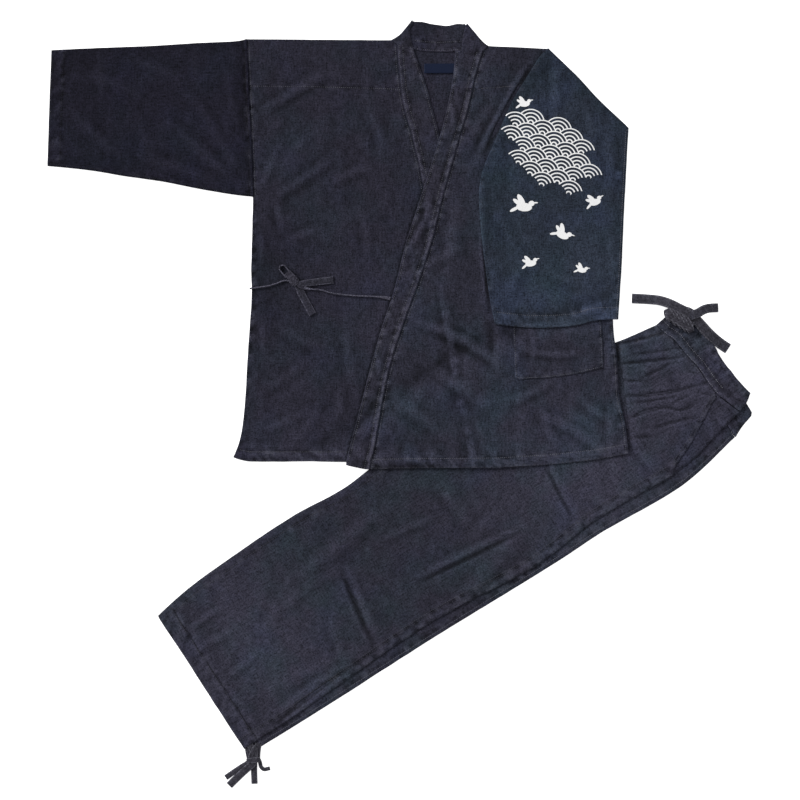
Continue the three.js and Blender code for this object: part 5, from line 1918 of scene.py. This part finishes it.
# %% Left front
frame_loop = OUTLINES["jacket_front_left"]
foot = int(np.argmin(np.linalg.norm(frame_loop - (-48.2, -128.0), axis=1)))
left_body = np.insert(frame_loop, foot + 1, (-49.9, -139.4), axis=0)
OUTLINES["jacket_front_left"] = left_body
left_hem_edge = part_of(left_body, (-49, -139.6), (376, -113))
left_side_seam = part_of(left_body, (377, -113), (373, 424))
left_band_seam = part_of(left_body, (136, 549), (-48, -139))
LEFT_FRONT_CREASES = [
    ((20, 105), (94, 92), (171, 28), 1.7, 10),
    ((172, -31), (216, -18), (251, 9), 1.2, 9),
    ((100, 330), (88, 250), (76, 170), 0.9, 13),
    ((16, 190), (52, 200), (110, 232), 0.8, 11),
    ((40, 30), (92, 10), (150, -44), 1.0, 12),
    ((-20, -20), (30, -44), (84, -92), 0.8, 12),
    ((232, -50), (280, -66), (338, -108), 1.2, 10),
    ((290, -20), (318, -44), (352, -62), 1.0, 9),
    ((262, -104), (240, -74), (232, -34), 0.8, 10),
    ((344, 88), (338, 50), (346, 4), 1.1, 8),
    ((352, -30), (342, -64), (352, -98), 1.0, 9),
    ((158, 116), (164, 60), (158, 14), 0.8, 9),
    ((108, -30), (136, -70), (140, -120), 0.7, 11),
    ((150, 420), (138, 380), (112, 352), 1.0, 11),
    ((160, 470), (130, 440), (118, 404), 0.9, 10),
]
lay_cloth(
    "body_front_left", "jacket_front_left", 0.9,
    [
        washed(71, 0.3),
        *crease_rows(LEFT_FRONT_CREASES),
        hem(left_hem_edge, 16, 0.5, 0.5, 8, 0.95, seed=72),
        seam(inward(left_hem_edge, 16), 0.3, 0.5, 6, 8, 0.6, seed=73),
        seam(inward(left_side_seam, 4), 0.3, 0.55, 7, 7, 0.6, seed=74),
        seam(inward(left_band_seam, 4), 0.35, 0.5, 7, 7, 0.5, seed=75),
        seam([(130, 488), (190, 492), (240, 492)], 0.35, 0.3, 5, 8, 0.4, seed=76),
        seam([(-12, 155), (8, 151), (22, 156)], 0.3, 0.3, 4, 6, 0.4, seed=77),
        # The first valley lies along the folded sleeve's left edge; the painted shade map darkens it into a
        # painted shadow of the sleeve on the body.
        crease((216, 524), (176, 455), (138, 380), -2.4, 8),
        crease((196, 470), (170, 400), (150, 330), -1.2, 7),
        crease((140, 320), (136, 230), (148, 118), -1.4, 5),
    ],
    FINE, 0, DENIM_FRONT_LIT, sway=0.45, sewn_to=[left_band_seam],
)

# %% Left neckband
left_neckband = OUTLINES["neckband_left"]
left_sewn = part_of(left_neckband, (-50, -139), (135.8, 549))
lay_cloth(
    "band_left", "neckband_left", 1.7,
    [
        washed(81, 0.3, 12),
        seam(inward(left_sewn, 1.8), 0.4, 0.8, 5.5, 6, 1.0, seed=82),
        seam(inward(left_sewn, 7.5), 0.35, 0.5, 5, 6, 0.6, seed=83),
        seam(inward(left_free, 3.5), 0.35, 0.6, 5, 7, 0.8, seed=84),
        crease((50, 300), (42, 262), (12, 224), 0.8, 8),
        crease((-44, 60), (-30, 36), (-36, 6), 0.7, 7),
        crease((76, 480), (92, 452), (88, 420), 0.7, 7),
    ],
    FINE, -14, DENIM_BAND, edge_wear_and_shade=0.6, meets=[((-50, -139), (145.9, 557.9))],
)

# %% Patch pocket
pocket = OUTLINES["patch_pocket"]
pocket_rim = part_of(pocket, (184, 158), (329, 162), 6.0)
lay_cloth(
    "pocket", "patch_pocket", 1.1,
    [
        washed(85, 0.35, 22),
        seam(inward(pocket_rim, 3), 0.4, 0.5, 5, 7, 0.8, seed=86),
        crease((200, 60), (240, 44), (300, 52), 0.7, 9),
        crease((214, 96), (226, 70), (216, 30), 0.5, 8),
    ],
    FINE, -2, DENIM_FRONT_LIT,
)

# %% [markdown]
# ## The sleeves
# A samue sleeve is a straight tube. Lying flat it is two walls with a fold along the top and a seam
# along the bottom, open at the cuff. The left sleeve is folded down over the front, and shows the
# cloth's bluer side and the print.

# %% Right sleeve
sleeve_out = OUTLINES["sleeve_right"]
out_cuff = part_of(sleeve_out, (-573.9, 551), (-580.8, 360.2))
out_armhole = part_of(sleeve_out, (-242.1, 309.7), (-252.8, 569.5))
out_bottom = part_of(sleeve_out, (-580.8, 360.2), (-242, 309.7))
SLEEVE_OUT_CREASES = [
    ((-262, 322), (-318, 378), (-392, 438), 1.6, 11),
    ((-268, 350), (-304, 420), (-344, 476), 1.2, 10),
    ((-290, 330), (-360, 356), (-440, 380), 1.2, 10),
    ((-262, 420), (-282, 466), (-286, 520), 0.9, 9),
    ((-420, 470), (-470, 500), (-530, 512), 0.9, 12),
    ((-452, 372), (-500, 404), (-548, 458), 1.1, 11),
    ((-360, 500), (-402, 528), (-452, 536), 0.8, 10),
    ((-336, 556), (-342, 520), (-330, 486), 0.7, 10),
    ((-490, 552), (-498, 520), (-488, 476), 0.7, 10),
    ((-400, 350), (-424, 400), (-428, 448), 0.8, 11),
]
lay_tube(
    "arm_right", "sleeve_right",
    [
        washed(91, 0.3),
        *crease_rows(SLEEVE_OUT_CREASES, 0.32, 1.5),
        hem(out_cuff, 20, 0.4, 0.35, 8, 0.5, seed=92),
        seam(inward(out_cuff, 20), 0.35, 0.45, 6, 8, 0.6, seed=93),
        seam(inward(out_armhole, 3), 0.2, 0.35, 6, 8, 0.5, seed=94),
        seam(inward(out_bottom, 3), 0.2, 0.35, 6, 8, 0.4, seed=95),
    ],
    90, DENIM_SLEEVE,
    [((-573.9, 551), (-580.8, 360.2)), ((-242.1, 309.7), (-252.8, 569.5))],
    meets=[((-242.1, 309.7), (-252.8, 569.5))],
)

# %% Left sleeve
sleeve_down = OUTLINES["sleeve_left"]
down_right = part_of(sleeve_down, (359.7, 106.5), (377.6, 423))
down_cuff = part_of(sleeve_down, (156.9, 99.2), (359.7, 106.5))
down_left = part_of(sleeve_down, (232, 543), (156.9, 99.2))
SLEEVE_DOWN_CREASES = [
    ((257, 540), (254, 440), (258, 330), 0.9, 10),
    ((250, 92), (296, 122), (352, 138), 1.9, 11),
    ((168, 140), (192, 170), (200, 214), 0.8, 11),
    ((340, 250), (352, 210), (350, 160), 0.8, 9),
    ((150, 300), (180, 260), (186, 214), 0.7, 12),
    ((340, 420), (352, 370), (344, 310), 0.8, 11),
    ((240, 190), (268, 170), (310, 166), 0.7, 10),
    ((190, 454), (216, 424), (222, 380), 0.7, 11),
    ((300, 470), (318, 436), (316, 390), 0.7, 10),
]
lay_tube(
    "arm_left", "sleeve_left",
    [
        washed(101, 0.3),
        *crease_rows(SLEEVE_DOWN_CREASES, 0.45),
        hem(down_cuff, 20, 0.45, 0.35, 8, 0.5, seed=102),
        seam(inward(down_cuff, 20), 0.35, 0.45, 6, 8, 0.6, seed=103),
        seam(inward(down_right, 3), 0.2, 0.35, 6, 8, 0.5, seed=104),
        seam(inward(down_left, 3), 0.2, 0.3, 6, 8, 0.4, seed=105),
    ],
    0, DENIM_TURNED,
    [((156.9, 99.2), (359.7, 106.5))],
)
turned_sleeve = cloths["arm_left"]["object"].data
all_points = len(turned_sleeve.vertices)
top_points = (all_points - len(cloths["arm_left"]["outline"])) // 4
printed = turned_sleeve.attributes.new("printed", "FLOAT", "POINT")
printed.data.foreach_set("value", np.arange(all_points) < top_points)
print("printed points:", top_points)

# %% [markdown]
# ## Sewing
# Rows of stitches run beside the seams: two on the trousers' side seam, waistband and pocket opening,
# three along each neckband, and one along each hem, each cuff and the pocket's sewn edge.

# %% Sew the rows
SEWING = {
    "leg_left_front": [
        inward(side_edge, 13), inward(side_edge, 16.5), inward(inseam_edge, 12),
        inward(hem_edge, 25), inward(opening_edge, 3), inward(opening_edge, 7.5), inward(waist_edge, 2.5),
    ],
    "band_left_front": [inward(band_seam, 1.2), inward(band_seam, 13)],
    "leg_right_back": [inward(right_side, 6), inward(right_hem, 28)],
    "body_front_right": [
        inward(right_hem_edge, 16), inward(right_armhole, 4), inward(right_band_seam, 4),
        np.array([(-246.0, 492), (-140, 491), (-30, 488), (6, 486)]),
    ],
    "band_right": [inward(right_sewn, 2), inward(right_sewn, 8), inward(right_free, 4)],
    "body_front_left": [
        inward(left_hem_edge, 16), inward(left_side_seam, 4), inward(left_band_seam, 4),
        np.array([(134.0, 488), (190, 492), (226, 492)]),
    ],
    "band_left": [inward(left_sewn, 2), inward(left_sewn, 7.5), inward(left_free, 3.5)],
    "pocket": [inward(pocket_rim, 2.5)],
    "collar": [inward(collar_foot, 2), np.array([(24.0, 567), (62, 564), (104, 566)])],
    "body_back": [inward(back_hem, 16)],
    "arm_right": [inward(out_cuff, 20), inward(out_bottom, 4), inward(out_armhole, 3)],
    "arm_left": [inward(down_cuff, 20), inward(down_right, 4)],
}
THREADS = {"arm_right": DARK_THREAD, "band_left_front": PALE_THREAD, "leg_left_front": QUIET_THREAD}
sewn = {
    cloth: sew("stitches_" + cloth, cloth, rows, seed, THREADS.get(cloth, THREAD))
    for seed, (cloth, rows) in enumerate(SEWING.items(), 200)
}

# %% [markdown]
# ## Flat sizes and tie lengths
# Each cloth's flat size as a laid sheet is worked out and printed, and each tie is hung under the root
# in place of its frame solids, with its real length printed. The flat size of a doubled band is that of
# the face that shows. A tube shows twice its outline.

# %% Sheets
RESTS_ON = {
    "leg_right_front": "studio floor", "band_right_front": "studio floor",
    "leg_right_back": "leg_right_front", "band_right_back": "band_right_front",
    "leg_left_back": "leg_right_back", "band_left_back": "band_right_back",
    "pocket_facing": "leg_left_back", "leg_left_front": "leg_left_back",
    "band_left_front": "band_left_back", "body_back": "leg_left_front",
    "collar": "studio floor", "body_front_right": "body_back", "band_right": "body_back",
    "label": "body_back", "body_front_left": "body_front_right", "band_left": "body_front_right",
    "pocket": "body_front_left", "arm_right": "studio floor", "arm_left": "body_front_left",
}
for cloth, under in RESTS_ON.items():
    extra = [sewn[cloth]] if cloth in sewn else []
    walls = 2 if cloth.startswith("arm_") else 1
    declare(cloth, walls)
print("sheets:", sheet_sizes)


def declare_cord(piece, path, nodes, extra=()):
    """A tie in place of its frame solids: it and its extra pieces are hung under the root, the solids are
    hidden and its length along its path is printed.
    """
    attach(piece, "root")
    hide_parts(*nodes)
    for more in extra:
        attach(more, "root")
    print(piece.name, round(length_of(path), 4), "m")


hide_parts("tie_loop")
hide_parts("tie_knot")
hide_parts("drawstring_loop")
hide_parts("drawstring_knot")
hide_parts("hem_tie_wrap")
declare_cord(side_cord, side_path, ["tie_side_run", "tie_end_lower"], [jacket_knot])
declare_cord(band_cord, band_path, ["tie_band_run", "tie_end_right"], [jacket_loop])
declare_cord(string_left, string_left_path, ["drawstring_end_left"], [waist_knot])
declare_cord(string_lower, string_lower_path, ["drawstring_end_lower"], [string_loop])
for name, path in hem_paths.items():
    extra = [hem_bundle] if name == "hem_tie_end_1" else []
    declare_cord(hem_strings[name], path, [name], extra)
